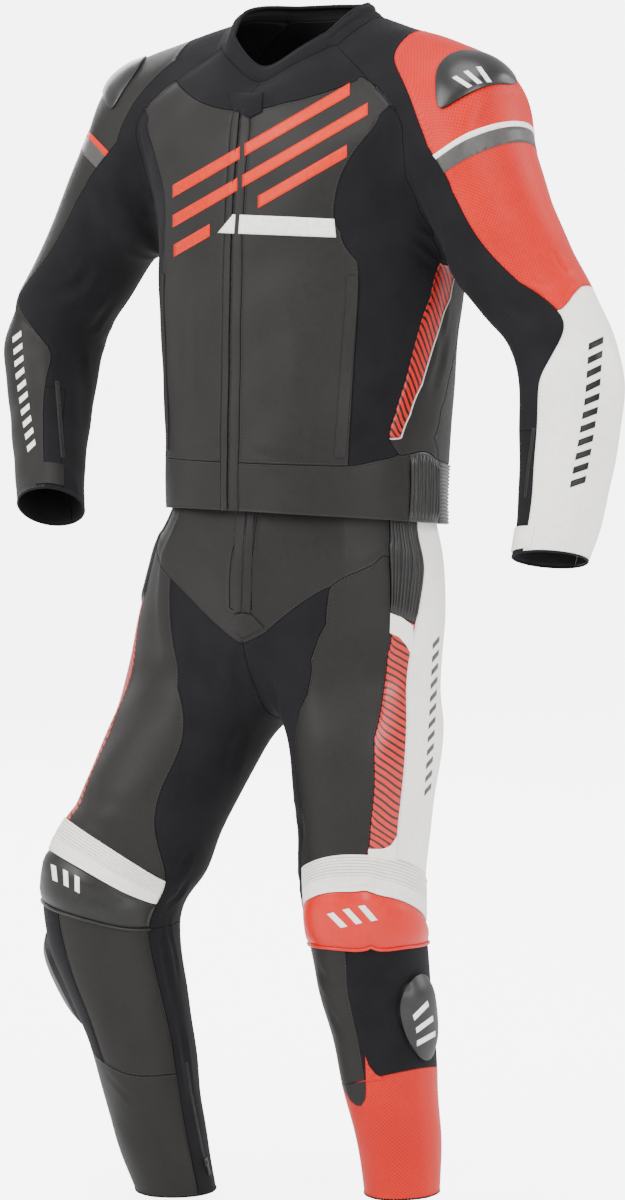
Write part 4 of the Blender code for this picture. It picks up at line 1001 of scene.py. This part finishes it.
def teeth(name, line, across, slot="zip_tape"):
    """A row of coil turns along a line of (place, direction) rows, across metres wide."""
    places = np.array([p for p, _ in line])
    run = np.r_[0, np.cumsum(np.linalg.norm(np.diff(places, axis=0), axis=1))]
    at = np.arange(TOOTH, run[-1] - TOOTH, TOOTH)
    ups = np.array([n for _, n in line])
    bm = bmesh.new()
    for k, s in enumerate(at):
        here = Vector([np.interp(s, run, places[:, i]) for i in range(3)])
        next_ = Vector([np.interp(s + 0.2 * MM, run, places[:, i]) for i in range(3)])
        up = Vector([np.interp(s, run, ups[:, i]) for i in range(3)]).normalized()
        ahead = (next_ - here).normalized()
        side = up.cross(ahead).normalized()
        turn = Matrix((side, ahead, up)).transposed().to_4x4()
        size = Matrix.Diagonal((across, TOOTH * 0.52, 0.9 * MM, 1.0))
        slip = side * across * (0.18 if k % 2 else -0.18)
        bmesh.ops.create_cube(bm, size=1.0, matrix=Matrix.Translation(here + slip) @ turn @ size)
    mesh = bpy.data.meshes.new(name)
    bm.to_mesh(mesh)
    bm.free()
    mesh.materials.append(coil)
    thing = bpy.data.objects.new(name, mesh)
    bpy.context.scene.collection.objects.link(thing)
    soften = thing.modifiers.new("soften", "BEVEL")
    soften.width, soften.segments = 0.2 * MM, 1
    apply_modifiers(thing)
    return laid_piece(name, thing, slot)


middle = respaced(front, np.array([0.0, 0.5 + 0.75 * MM / width_of_tape, 1.0]))[1]
front_teeth = teeth("zip_front_teeth", [(p[:3] - p[3:] * 0.9 * MM, p[3:]) for p in middle], 2.6 * MM)

suit_and_flaps = surface_of(skins["jacket"][0], skins["trousers"][0], *flaps)
trousers_only = surface_of(skins["trousers"][0])

thing = cut("fly_zip", "trousers")
line_with(thing, charcoal, lining_mesh)
thing.name = "fly_zip_tape"
laid_piece(thing.name, thing, "zip_tape", "fly_zip")
fly_flaps = [
    patch("fly_flap_right", ((235.6, 490), (235.4, 520), (234.3, 565), (234.0, 614)),
          ((246.8, 490), (245.9, 515), (242.4, 560), (241.0, 612.5)), 44, 7, 0.9 * MM, 1.2 * MM,
          flap_leather, "charcoal_leather", trousers_only),
    patch("fly_flap_left", ((248.3, 490), (247.4, 515), (243.9, 560), (242.3, 612.5)),
          ((255.0, 490), (254.0, 520), (251.8, 565), (250.6, 614)), 44, 7, 0.9 * MM, 1.2 * MM, flap_leather,
          "charcoal_leather", trousers_only),
    patch("fly_gusset", ((228, 626), (236, 614.5), (243, 613), (252, 614.8), (263.5, 627)),
          ((228, 626.6), (236, 633), (243.4, 638.5), (253, 633), (263.5, 627.6)), 28, 14, 1.3 * MM,
          1.3 * MM, flap_leather, "charcoal_leather", trousers_only),
]
fly_line = patch_grid(((247.4, 492), (246.6, 515), (243.1, 560), (241.6, 612)),
                      ((247.4, 492), (246.6, 515), (243.1, 560), (241.6, 612)), 60, 2, trousers_only)[0]
fly_teeth = teeth("fly_teeth", [(p[:3] + p[3:] * 0.1 * MM, p[3:]) for p in fly_line], 1.8 * MM)
patch("zip_top_tab", ((229, 92.5), (240, 94.5), (256, 94.5), (263, 92.5)),
      ((229.5, 93.5), (234, 110), (249, 118.5), (262, 112)), 26, 20, 1.9 * MM, 1.6 * MM, stretch,
      "stretch_cloth", suit_and_flaps)

# ------------------------------------------------------------------ pocket welts and cuff tabs
# Hand pockets in the chest seams, closed by a stitched leather welt, and a leather tab that holds
# each cuff closed.


def slab_of(name):
    """The node's own slab as it is, and which of its points lie on the top."""
    bm = bmesh.new()
    bm.from_mesh(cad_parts[name].data)
    bmesh.ops.remove_doubles(bm, verts=bm.verts, dist=2e-6)
    bmesh.ops.join_triangles(bm, faces=bm.faces[:], angle_face_threshold=math.radians(60),
                             angle_shape_threshold=math.radians(180), topology_influence=1.0)
    bm.normal_update()
    top = {v for v in bm.verts if any(f.normal.dot(tree.find_nearest(v.co)[1]) > 0.6 for f in v.link_faces)}
    return bm, top


def lay_down(name, bm, top, least, most):
    """Puts the slab on the folded suit: its top at its own height, kept between least and most."""
    moves = []
    for v in bm.verts:
        place, normal, _, _ = tree.find_nearest(v.co)
        rise = min(max((v.co - place).dot(normal), least), most) if v in top else -0.5 * MM
        moves.append((v, place + normal * rise))
    for v, place in moves:
        v.co = place


def finish_laid(name, bm, material, slot, rounds, edge=0.0):
    mesh = bpy.data.meshes.new(name + "_laid")
    bm.to_mesh(mesh)
    bm.free()
    mesh.materials.clear()
    mesh.materials.append(material)
    thing = bpy.data.objects.new(name + "_laid", mesh)
    bpy.context.scene.collection.objects.link(thing)
    if edge:
        bevel = thing.modifiers.new("edge", "BEVEL")
        bevel.width, bevel.segments = edge, 2
        bevel.limit_method, bevel.angle_limit = "ANGLE", math.radians(50)
    if rounds:
        smooth = thing.modifiers.new("smooth", "SUBSURF")
        smooth.levels = smooth.render_levels = rounds
    apply_modifiers(thing)
    thing.data.polygons.foreach_set("use_smooth", [True] * len(thing.data.polygons))
    return laid_piece(thing.name, thing, slot, name)


WELTS = (    # node, material, slot, cut width and length in metres, cut area in square metres
    ("pocket_welt_left", flap_leather, "charcoal_leather", (0.016, 0.205), 0.0030),
    ("pocket_welt_right", flap_leather, "charcoal_leather", (0.016, 0.205), 0.0030),
    ("cuff_tab_left", white, "white_leather", (0.030, 0.050), 0.0013),
    ("cuff_tab_right", charcoal, "charcoal_leather", (0.030, 0.050), 0.0013),
)
for name, material, slot, size, area in WELTS:
    bm, top = slab_of(name)
    lay_down(name, bm, top, 1.8 * MM, 1.8 * MM)
    strip = finish_laid(name, bm, material, slot, 1, 0.5 * MM)

# ------------------------------------------------------------------ shoulder guards and knee sliders
# Hard cups moulded in black thermoplastic over the shoulders, and the replaceable sliders beside
# the knees: a thick black puck with a worn, lighter bevel.


def plastic(name, colour, roughness, scuff):
    """Injection-moulded plastic with a fine spark-eroded grain and light scuffs."""
    material, shader = bare(name)
    place = add(material, "TexCoord").outputs["Object"]
    grain = add(material, "TexNoise", {"Vector": place, "Scale": 900.0, "Detail": 2.0}).outputs["Fac"]
    worn = add(material, "TexNoise", {"Vector": place, "Scale": 45.0, "Detail": 6.0}).outputs["Fac"]
    tone = ramp(material, worn, (0.45, linear(colour)), (0.75, linear(scuff)))
    bump = add(material, "Bump", {"Height": grain, "Strength": 0.12, "Distance": 0.1 * MM})
    rough = number(material, "MULTIPLY_ADD", worn, 0.25)
    material.node_tree.nodes[-1].inputs[2].default_value = roughness - 0.1
    for key, value in (("Base Color", tone), ("Normal", bump.outputs[0]), ("Roughness", rough)):
        material.node_tree.links.new(value, shader.inputs[key])
    shader.inputs["IOR"].default_value = 1.49
    return material


shell = plastic("guard_thermoplastic_black", "#0f0f10", 0.3, "#1a1a1b")
puck = plastic("slider_thermoplastic_black", "#0e0e0f", 0.4, "#1c1c1d")
shells = []
for name, material, slot, least, rounds in (
        ("shoulder_guard_left", shell, "hard_shell", 1.2, 1),
        ("shoulder_guard_right", shell, "hard_shell", 1.2, 1),
        ("knee_slider_left", puck, "slider_plastic", 3.0, 2),
        ("knee_slider_right", puck, "slider_plastic", 3.0, 2)):
    bm, top = slab_of(name)
    lay_down(name, bm, top, least * MM, 1.0)
    crown = [v for v in top if all(o in top for e in v.link_edges for o in e.verts)]
    for _ in range(3):
        bmesh.ops.smooth_vert(bm, verts=crown, factor=0.5, use_axis_x=True, use_axis_y=True,
                              use_axis_z=True)
    shells.append(finish_laid(name, bm, material, slot, rounds, 0.9 * MM))

# ------------------------------------------------------------------ bands and printed bars
# Thin coated leather laid on and stitched: the stripe and bars of the chest, a band with an edge
# round each upper arm, and slanting bars on the forearms, left thigh, knees,
# left guard and left slider.


def coated(name, colour, roughness=0.42):
    """A thin coated film with the hide's grain showing through."""
    material, shader = bare(name)
    place = add(material, "TexCoord").outputs["Object"]
    mottle = add(material, "TexNoise", {"Vector": place, "Scale": 220.0, "Detail": 4.0}).outputs["Fac"]
    dull = tuple(c * 0.86 for c in linear(colour)[:3]) + (1.0,)
    tone = ramp(material, mottle, (0.35, dull), (0.65, linear(colour)))
    bump = add(material, "Bump", {"Height": mottle, "Strength": 0.2, "Distance": 0.15 * MM})
    for key, value in (("Base Color", tone), ("Normal", bump.outputs[0])):
        material.node_tree.links.new(value, shader.inputs[key])
    shader.inputs["Roughness"].default_value = roughness
    shader.inputs["Specular IOR Level"].default_value = 0.2
    return material


film_white = coated("film_white", "#f4f3f0")
film_orange = coated("film_orange", "#cc2600")
film_grey = coated("film_reflective_grey", "#4a4847", 0.35)
film_black = coated("film_black", "#141314")
FILM, SINK = 0.6 * MM, 0.8 * MM


def gap_at(y):
    """Across the picture, the middle of the front zip at a height."""
    return float(np.interp(y, (120, 270), (245.7, 234.5)))


white_bits = [
    patch("chest_stripe_right", ((233.4, 214.4), (gap_at(214) - 3.3, 214.6)),
          ((218, 232.8), (gap_at(233) - 3.3, 233.5)),
          8, 8, FILM, SINK, film_white, "white_leather", suit_and_flaps),
    patch("chest_stripe_left", ((gap_at(214) + 1.2, 214.8), (290, 216.8), (334.3, 219)),
          ((gap_at(233) + 1.2, 233.6), (290, 235.6), (336, 237.4)), 40, 8, FILM, SINK, film_white,
          "white_leather", suit_and_flaps),
]
BAR_SLOPE, BAR_HIGH = -0.578, 12.5


def bar(x, y_at_172, x_end, name):
    """A slanting bar of the chest between two places across the picture."""
    y, y_end = (y_at_172 + BAR_SLOPE * (v - 172) for v in (x, x_end))
    return patch(name, ((x, y - BAR_HIGH / 2), (x_end, y_end - BAR_HIGH / 2)),
                 ((x, y + BAR_HIGH / 2), (x_end, y_end + BAR_HIGH / 2)),
                 max(6, int(abs(x_end - x) / 3)), 6, FILM, SINK, film_orange, "red_leather", suit_and_flaps)


orange_bits = [
    bar(173, 192, gap_at(152) - 3.5, "chest_bar_a"), bar(gap_at(152) + 1.3, 192, 350, "chest_bar_b"),
    bar(173, 222, gap_at(183) - 3.5, "chest_bar_c"), bar(gap_at(183) + 1.3, 222, 368, "chest_bar_d"),
    bar(174, 252, 210, "chest_bar_e"), bar(258, 252, 347, "chest_bar_f"),
]
joined("chest_bars", orange_bits)
joined("chest_stripe", white_bits)


def arm_band(name, panel_name, centre, normal, low, high, material, slot):
    """The part of an upper arm's leather between two planes, laid on as a thin band."""
    points, corners, panel, _, normals = tables["jacket"]
    mine = corners[panel == skins["jacket"][1].index(panel_name)]
    used, local = np.unique(mine, return_inverse=True)
    thing = plain_mesh(name, points[used] + normals[used] * FILM, local.reshape(-1, 4))
    bm = bmesh.new()
    bm.from_mesh(thing.data)
    normal = Vector(normal).normalized()
    for distance, way in ((low, -1), (high, 1)):
        everything = bm.verts[:] + bm.edges[:] + bm.faces[:]
        bmesh.ops.bisect_plane(bm, geom=everything, plane_co=Vector(centre) + normal * distance * MM,
                               plane_no=normal * way, clear_outer=True)
    bm.to_mesh(thing.data)
    bm.free()
    line_with(thing, material, material, SINK)
    return laid_piece(name, thing, slot)


LEFT_ARM = ("shoulder_left", (0.2679, -0.0634, -0.1265), (0.557, -0.067, -0.828))
RIGHT_ARM = ("shoulder_right", (-0.2678, -0.0361, -0.1328), (-0.601, -0.414, -0.684))
arm_band("arm_band_left_edge", *LEFT_ARM, -3, 3, film_white, "white_leather")
arm_band("arm_band_left", *LEFT_ARM, 3, 21, film_grey, "charcoal_leather")
arm_band("arm_band_right_edge", *RIGHT_ARM, -3, 3, film_orange, "red_leather")
arm_band("arm_band_right", *RIGHT_ARM, 3, 20, film_grey, "charcoal_leather")


def slanted_row(name, line, count, high, slant, fill, material, slot, surface=None):
    """A row of slanting bars along a picture path; fill is the bar's share of each step."""
    line = even_line(line, count + 1)
    bits = []
    for k in range(count):
        a, b = line[k], line[k + 1]
        ahead = (b - a) * fill
        across = np.array([-(b - a)[1], (b - a)[0]]) / np.linalg.norm(b - a) * high / 2
        lean = (b - a) / np.linalg.norm(b - a) * slant
        top = (a + across + lean, a + across + lean + ahead)
        low = (a - across - lean, a - across - lean + ahead)
        bits.append(patch("%s_%d" % (name, k), top, low, 5, 9, FILM, SINK, material, slot, surface))
    return joined(name, bits)


slanted_row("forearm_bars_left", ((596, 340), (592, 400), (584, 450), (576, 492)), 11, 14, 4, 0.5,
            film_black, "black_leather")
slanted_row("forearm_bars_right", ((17, 334), (20, 372), (27, 420), (33, 455)), 10, 9, 3, 0.45, film_white,
            "white_leather")
slanted_row("thigh_bars_left", ((436, 640), (432, 720), (427, 800)), 12, 6, 4, 0.4, film_grey,
            "charcoal_leather")
on_shells = surface_of(skins["jacket"][0], skins["trousers"][0], *shells, *knee_cups)
slanted_row("knee_bars_left", ((334, 921), (357, 915), (380, 911)), 3, 17, 5, 0.42, film_white,
            "white_leather", on_shells)
slanted_row("knee_bars_right", ((52, 872), (68, 879), (86, 889)), 3, 14, 4, 0.42, film_white,
            "white_leather", on_shells)
slanted_row("guard_bars_left", ((460, 83), (477, 75), (493, 74)), 3, 16, 5, 0.42, film_white,
            "white_leather", on_shells)
slanted_row("slider_bars_left", ((420, 1008), (426, 1028), (426, 1050)), 3, 18, 5, 0.38, film_white,
            "white_leather", on_shells)

# White coated leather ends the print of the left thigh at both ends, and on the left shin a
# charcoal tongue runs down into the red leather, which rises to a point beside it.
patch("thigh_print_top", ((390.4, 613), (402, 617.5), (413, 626)),
      ((389.8, 633), (399, 637), (406, 645), (414, 660)), 14, 14, FILM, SINK, white, "white_leather")
patch("thigh_print_foot", ((368.3, 849), (383, 849), (391, 845.5), (397, 836)),
      ((368.3, 861), (383, 861), (391, 861), (397, 861)), 12, 6, FILM, SINK, white, "white_leather")
patch("shin_tongue", ((342.8, 1085), (346, 1093), (351, 1101), (357, 1105.5)),
      ((365.5, 1081), (366, 1090), (365.5, 1099), (361, 1106)),
      16, 12, FILM, SINK, charcoal, "charcoal_leather")
patch("shin_point", ((365.3, 1056), (369, 1066), (376, 1074.5), (386, 1079)),
      ((366, 1082), (370, 1081.5), (377, 1080.5), (387, 1079.5)), 16, 10, FILM, SINK, red, "red_leather")

# ------------------------------------------------------------------ collar, bindings and piping
# The neck ends in a soft rolled band, the hems of the legs and the cuffs are bound, and light piping
# follows the rear edge of the left side insert.


def rims(title):
    """Closed rows of places and directions round the garment's openings."""
    points, corners, _, _, normals = tables[title]
    seen_once, seen_twice = set(), set()
    for k in range(4):
        for a, b in zip(corners[:, k].tolist(), corners[:, (k + 1) % 4].tolist()):
            e = (min(a, b), max(a, b))
            (seen_twice if e in seen_once else seen_once).add(e)
    rows = rings_of(list(seen_once - seen_twice))
    return [[(Vector(points[v]), Vector(normals[v])) for v in row] for row in rows if len(row) > 40]


jacket_rims, trouser_rims = rims("jacket"), rims("trousers")
binding = knit("binding_black", "#141316", "#0d0c0e", 1.2, 0.1)
neck = [row for row in jacket_rims if row[0][0].z > -0.12]
cuffs = [row for row in jacket_rims if abs(row[0][0].x) > 0.28]
hems = [row for row in trouser_rims if row[0][0].z < -1.2]
tube("collar_roll", neck, 2.2 * MM, stretch, -1.0 * MM)
tube("cuff_bindings", cuffs, 1.3 * MM, binding, -0.8 * MM)
tube("hem_bindings", hems, 1.4 * MM, binding, -0.7 * MM)
light_piping = coated("piping_light_grey", "#b9b4ae")
tube("side_insert_piping", seam("jacket", "side_insert_left", "back_side_left"), 0.9 * MM, light_piping,
     0.3 * MM)

# ------------------------------------------------------------------ small zips of the calves and cuffs
# A fine coil zip closes each calf and each cuff; only its teeth and a small slider show.
black_metal = plastic("zip_slider_painted_black", "#19181a", 0.35, "#3a393b")
SMALL_ZIPS = (  # name, path in the picture or near the suit in metres, slider's share of the way
    ("calf_zip_right", ((186, 1062), (190, 1090), (196, 1120), (201, 1145), (206, 1166)), 0.97),
    ("calf_zip_left", ((0.062, 0.06, -1.20), (0.066, 0.06, -1.26), (0.070, 0.055, -1.325)), 0.97),
    ("cuff_zip_right", ((57, 381), (60, 420), (63, 458)), None),
    ("cuff_zip_left", ((534, 428), (528.5, 468), (525, 498)), None),
)
for name, path, share in SMALL_ZIPS:
    axes = [np.interp(np.linspace(0, len(path) - 1, 40), range(len(path)), [p[k] for p in path])
            for k in range(len(path[0]))]
    line = [(seen if len(p) == 2 else near)(*p) for p in zip(*axes)]
    line = np.array([(*place, *normal) for place, normal in line])
    ahead = np.gradient(line[:, :3], axis=0)
    across = np.cross(line[:, 3:], ahead / np.linalg.norm(ahead, axis=1, keepdims=True))
    grid = line[None, :, :3] + across[None] * np.linspace(-2.6, 2.6, 5)[:, None, None] * MM
    outward = np.repeat(line[None, :, 3:], 5, axis=0)
    laid_piece(name + "_tape", grid_piece(name + "_tape", grid + outward * 0.5 * MM, outward, zip_tape,
                                          0.8 * MM), "zip_tape")
    teeth(name + "_teeth", [(p[:3] + p[3:] * 0.8 * MM, p[3:]) for p in line], 2.0 * MM)
    if share:
        at = line[int(share * 39)]
        before = line[int(share * 39) - 3]
        up, ahead = Vector(at[3:]), (Vector(at[:3]) - Vector(before[:3])).normalized()
        side = up.cross(ahead).normalized()
        turn = Matrix((side, ahead, up)).transposed().to_4x4()
        bm = bmesh.new()
        for size, shift in (((6, 9, 2.4), (0, 0, 1.6)), ((4, 15, 1.2), (0, 9, 2.6)),
                            ((2.4, 5, 1.8), (0, 1, 3.2))):
            where = Matrix.Translation(Vector(at[:3])) @ turn @ Matrix.Translation(Vector(shift) * MM)
            bmesh.ops.create_cube(bm, size=1.0,
                                  matrix=where @ Matrix.Diagonal((*(v * MM for v in size), 1.0)))
        mesh = bpy.data.meshes.new(name + "_slider")
        bm.to_mesh(mesh)
        bm.free()
        mesh.materials.append(black_metal)
        slider = bpy.data.objects.new(mesh.name, mesh)
        bpy.context.scene.collection.objects.link(slider)
        soften = slider.modifiers.new("soften", "BEVEL")
        soften.width, soften.segments = 0.5 * MM, 2
        apply_modifiers(slider)
        laid_piece(slider.name, slider, "zip_tape")

# ------------------------------------------------------------------ top stitching
# Bonded polyester thread, seven stitches to the inch and a little coarser here, four millimetres
# inside the edge of every leather panel, in the colour of the leather.
STITCH_PITCH, STITCH_LONG, STITCH_WIDE = 4.2 * MM, 3.0 * MM, 0.75 * MM


def thread(name, colour):
    material, shader = bare(name)
    place = add(material, "TexCoord").outputs["Object"]
    twist = add(material, "TexWave", {"Vector": place, "Scale": 700.0},
                bands_direction="DIAGONAL").outputs["Fac"]
    tone = ramp(material, twist, (0.2, tuple(c * 0.7 for c in linear(colour)[:3]) + (1.0,)),
                (0.8, linear(colour)))
    material.node_tree.links.new(tone, shader.inputs["Base Color"])
    shader.inputs["Roughness"].default_value = 0.55
    return material


def stitches(name, rows, material, slot):
    """One stitch every pitch along the rows, each a short grain-shaped thread."""
    points, faces = [], []
    section = [(math.cos(math.radians(a)), math.sin(math.radians(a))) for a in (45, 135, 225, 315)]
    for row in rows:
        places = np.array([p for p, _ in row])
        ups = np.array([n for _, n in row])
        run = np.r_[0, np.cumsum(np.linalg.norm(np.diff(places, axis=0), axis=1))]
        for s in np.arange(STITCH_PITCH, run[-1] - STITCH_PITCH, STITCH_PITCH):
            ends = [np.array([np.interp(s + k * STITCH_LONG / 2, run, places[:, i]) for i in range(3)])
                    for k in (-1, 1)]
            up = np.array([np.interp(s, run, ups[:, i]) for i in range(3)])
            ahead = ends[1] - ends[0]
            if np.linalg.norm(ahead) < 0.6 * STITCH_LONG:
                continue
            side = np.cross(up, ahead)
            side /= np.linalg.norm(side)
            up = np.cross(ahead, side)
            up /= np.linalg.norm(up)
            first = len(points)
            points.append(ends[0] - up * 0.25 * MM)
            for share in (0.22, 0.78):
                middle = ends[0] + ahead * share + up * 0.15 * MM
                points += [middle + (side * c + up * d * 0.7) * STITCH_WIDE / 2 for c, d in section]
            points.append(ends[1] - up * 0.25 * MM)
            for k in range(4):
                j = (k + 1) % 4
                faces += [(first, first + 1 + j, first + 1 + k), (first + 9, first + 5 + k, first + 5 + j)]
                faces += [(first + 1 + k, first + 1 + j, first + 5 + j),
                          (first + 1 + k, first + 5 + j, first + 5 + k)]
    mesh = bpy.data.meshes.new(name)
    mesh.from_pydata([tuple(p) for p in points], [], faces)
    mesh.materials.append(material)
    mesh.polygons.foreach_set("use_smooth", [True] * len(mesh.polygons))
    thing = bpy.data.objects.new(name, mesh)
    bpy.context.scene.collection.objects.link(thing)
    return laid_piece(name, thing, slot)


charcoal_names = [row[0] for row in CHARCOAL]
stitches("stitching_charcoal", [row for name in charcoal_names for row in edge_lines[name]],
         thread("thread_charcoal", "#2b2928"), "charcoal_leather")
YOKE_SEAM = [[near(x, 0.16, z + 0.10 * x * x) for x in np.linspace(-0.15, 0.15, 50)]
             for z in (-0.150, -0.1565)]
stitches("stitching_back_yoke", YOKE_SEAM, thread("thread_back", "#2b2928"), "charcoal_leather")
stitches("stitching_red",
         edge_lines["shoulder_left"] + edge_lines["shin_left"] + edge_lines["knee_guard_left"],
         thread("thread_red", "#c01c06"), "red_leather")
stitches("stitching_white", edge_lines["forearm_left"] + edge_lines["side_panel_left"],
         thread("thread_white", "#d8d5cf"), "white_leather")

# ------------------------------------------------------------------ stage
# A pale floor under the hems and soft studio lamps: a wide key from the front left, a fill, a lamp
# from above and one from behind on each side.
floor_material, shader = bare("paper_floor")
shader.inputs["Base Color"].default_value = linear("#f4f4f4")
shader.inputs["Roughness"].default_value = 0.9
shader.inputs["Emission Color"].default_value = linear("#ffffff")
straight = add(floor_material, "LightPath").outputs["Is Camera Ray"]
glow = number(floor_material, "MULTIPLY", straight, 5.0)
floor_material.node_tree.links.new(glow, shader.inputs["Emission Strength"])
bpy.ops.mesh.primitive_plane_add(size=60, location=(0, 0, cad_box[0][2] - 0.012))
floor = bpy.context.active_object
floor.name = "floor"
floor.data.materials.append(floor_material)

LAMPS = (       # place, size across, power, colour
    ((-2.2, -3.6, 1.6), 2.8, 190, "#ffffff"), ((3.6, -2.4, 0.8), 2.8, 140, "#ffffff"),
    ((0.4, -1.0, 3.4), 2.8, 120, "#ffffff"), ((3.0, 2.6, 1.2), 2.2, 80, "#ffffff"),
    ((-3.0, 2.2, 1.0), 2.2, 80, "#ffffff"),
)
for number_, (place, across, power, colour) in enumerate(LAMPS):
    lamp = bpy.data.lights.new("softbox_%d" % number_, "AREA")
    lamp.shape, lamp.size, lamp.energy, lamp.color = "DISK", across, power, linear(colour)[:3]
    holder = bpy.data.objects.new(lamp.name, lamp)
    bpy.context.scene.collection.objects.link(holder)
    holder.location = place
    holder.rotation_euler = (Vector((0, 0, -0.7)) - Vector(place)).to_track_quat("-Z", "Y").to_euler()
world = bpy.data.worlds.new("studio")
world.use_nodes = True
world.node_tree.nodes["Background"].inputs["Color"].default_value = linear("#ffffff")
straight = world.node_tree.nodes.new("ShaderNodeLightPath").outputs["Is Camera Ray"]
bright = world.node_tree.nodes.new("ShaderNodeMath")
bright.operation = "MULTIPLY_ADD"
bright.inputs[1].default_value, bright.inputs[2].default_value = 5.0, 1.15
world.node_tree.links.new(straight, bright.inputs[0])
world.node_tree.links.new(bright.outputs[0], world.node_tree.nodes["Background"].inputs["Strength"])
bpy.context.scene.world = world

# ------------------------------------------------------------------ removing the tacked skins
for skin, names in skins.values():
    bpy.data.objects.remove(skin)
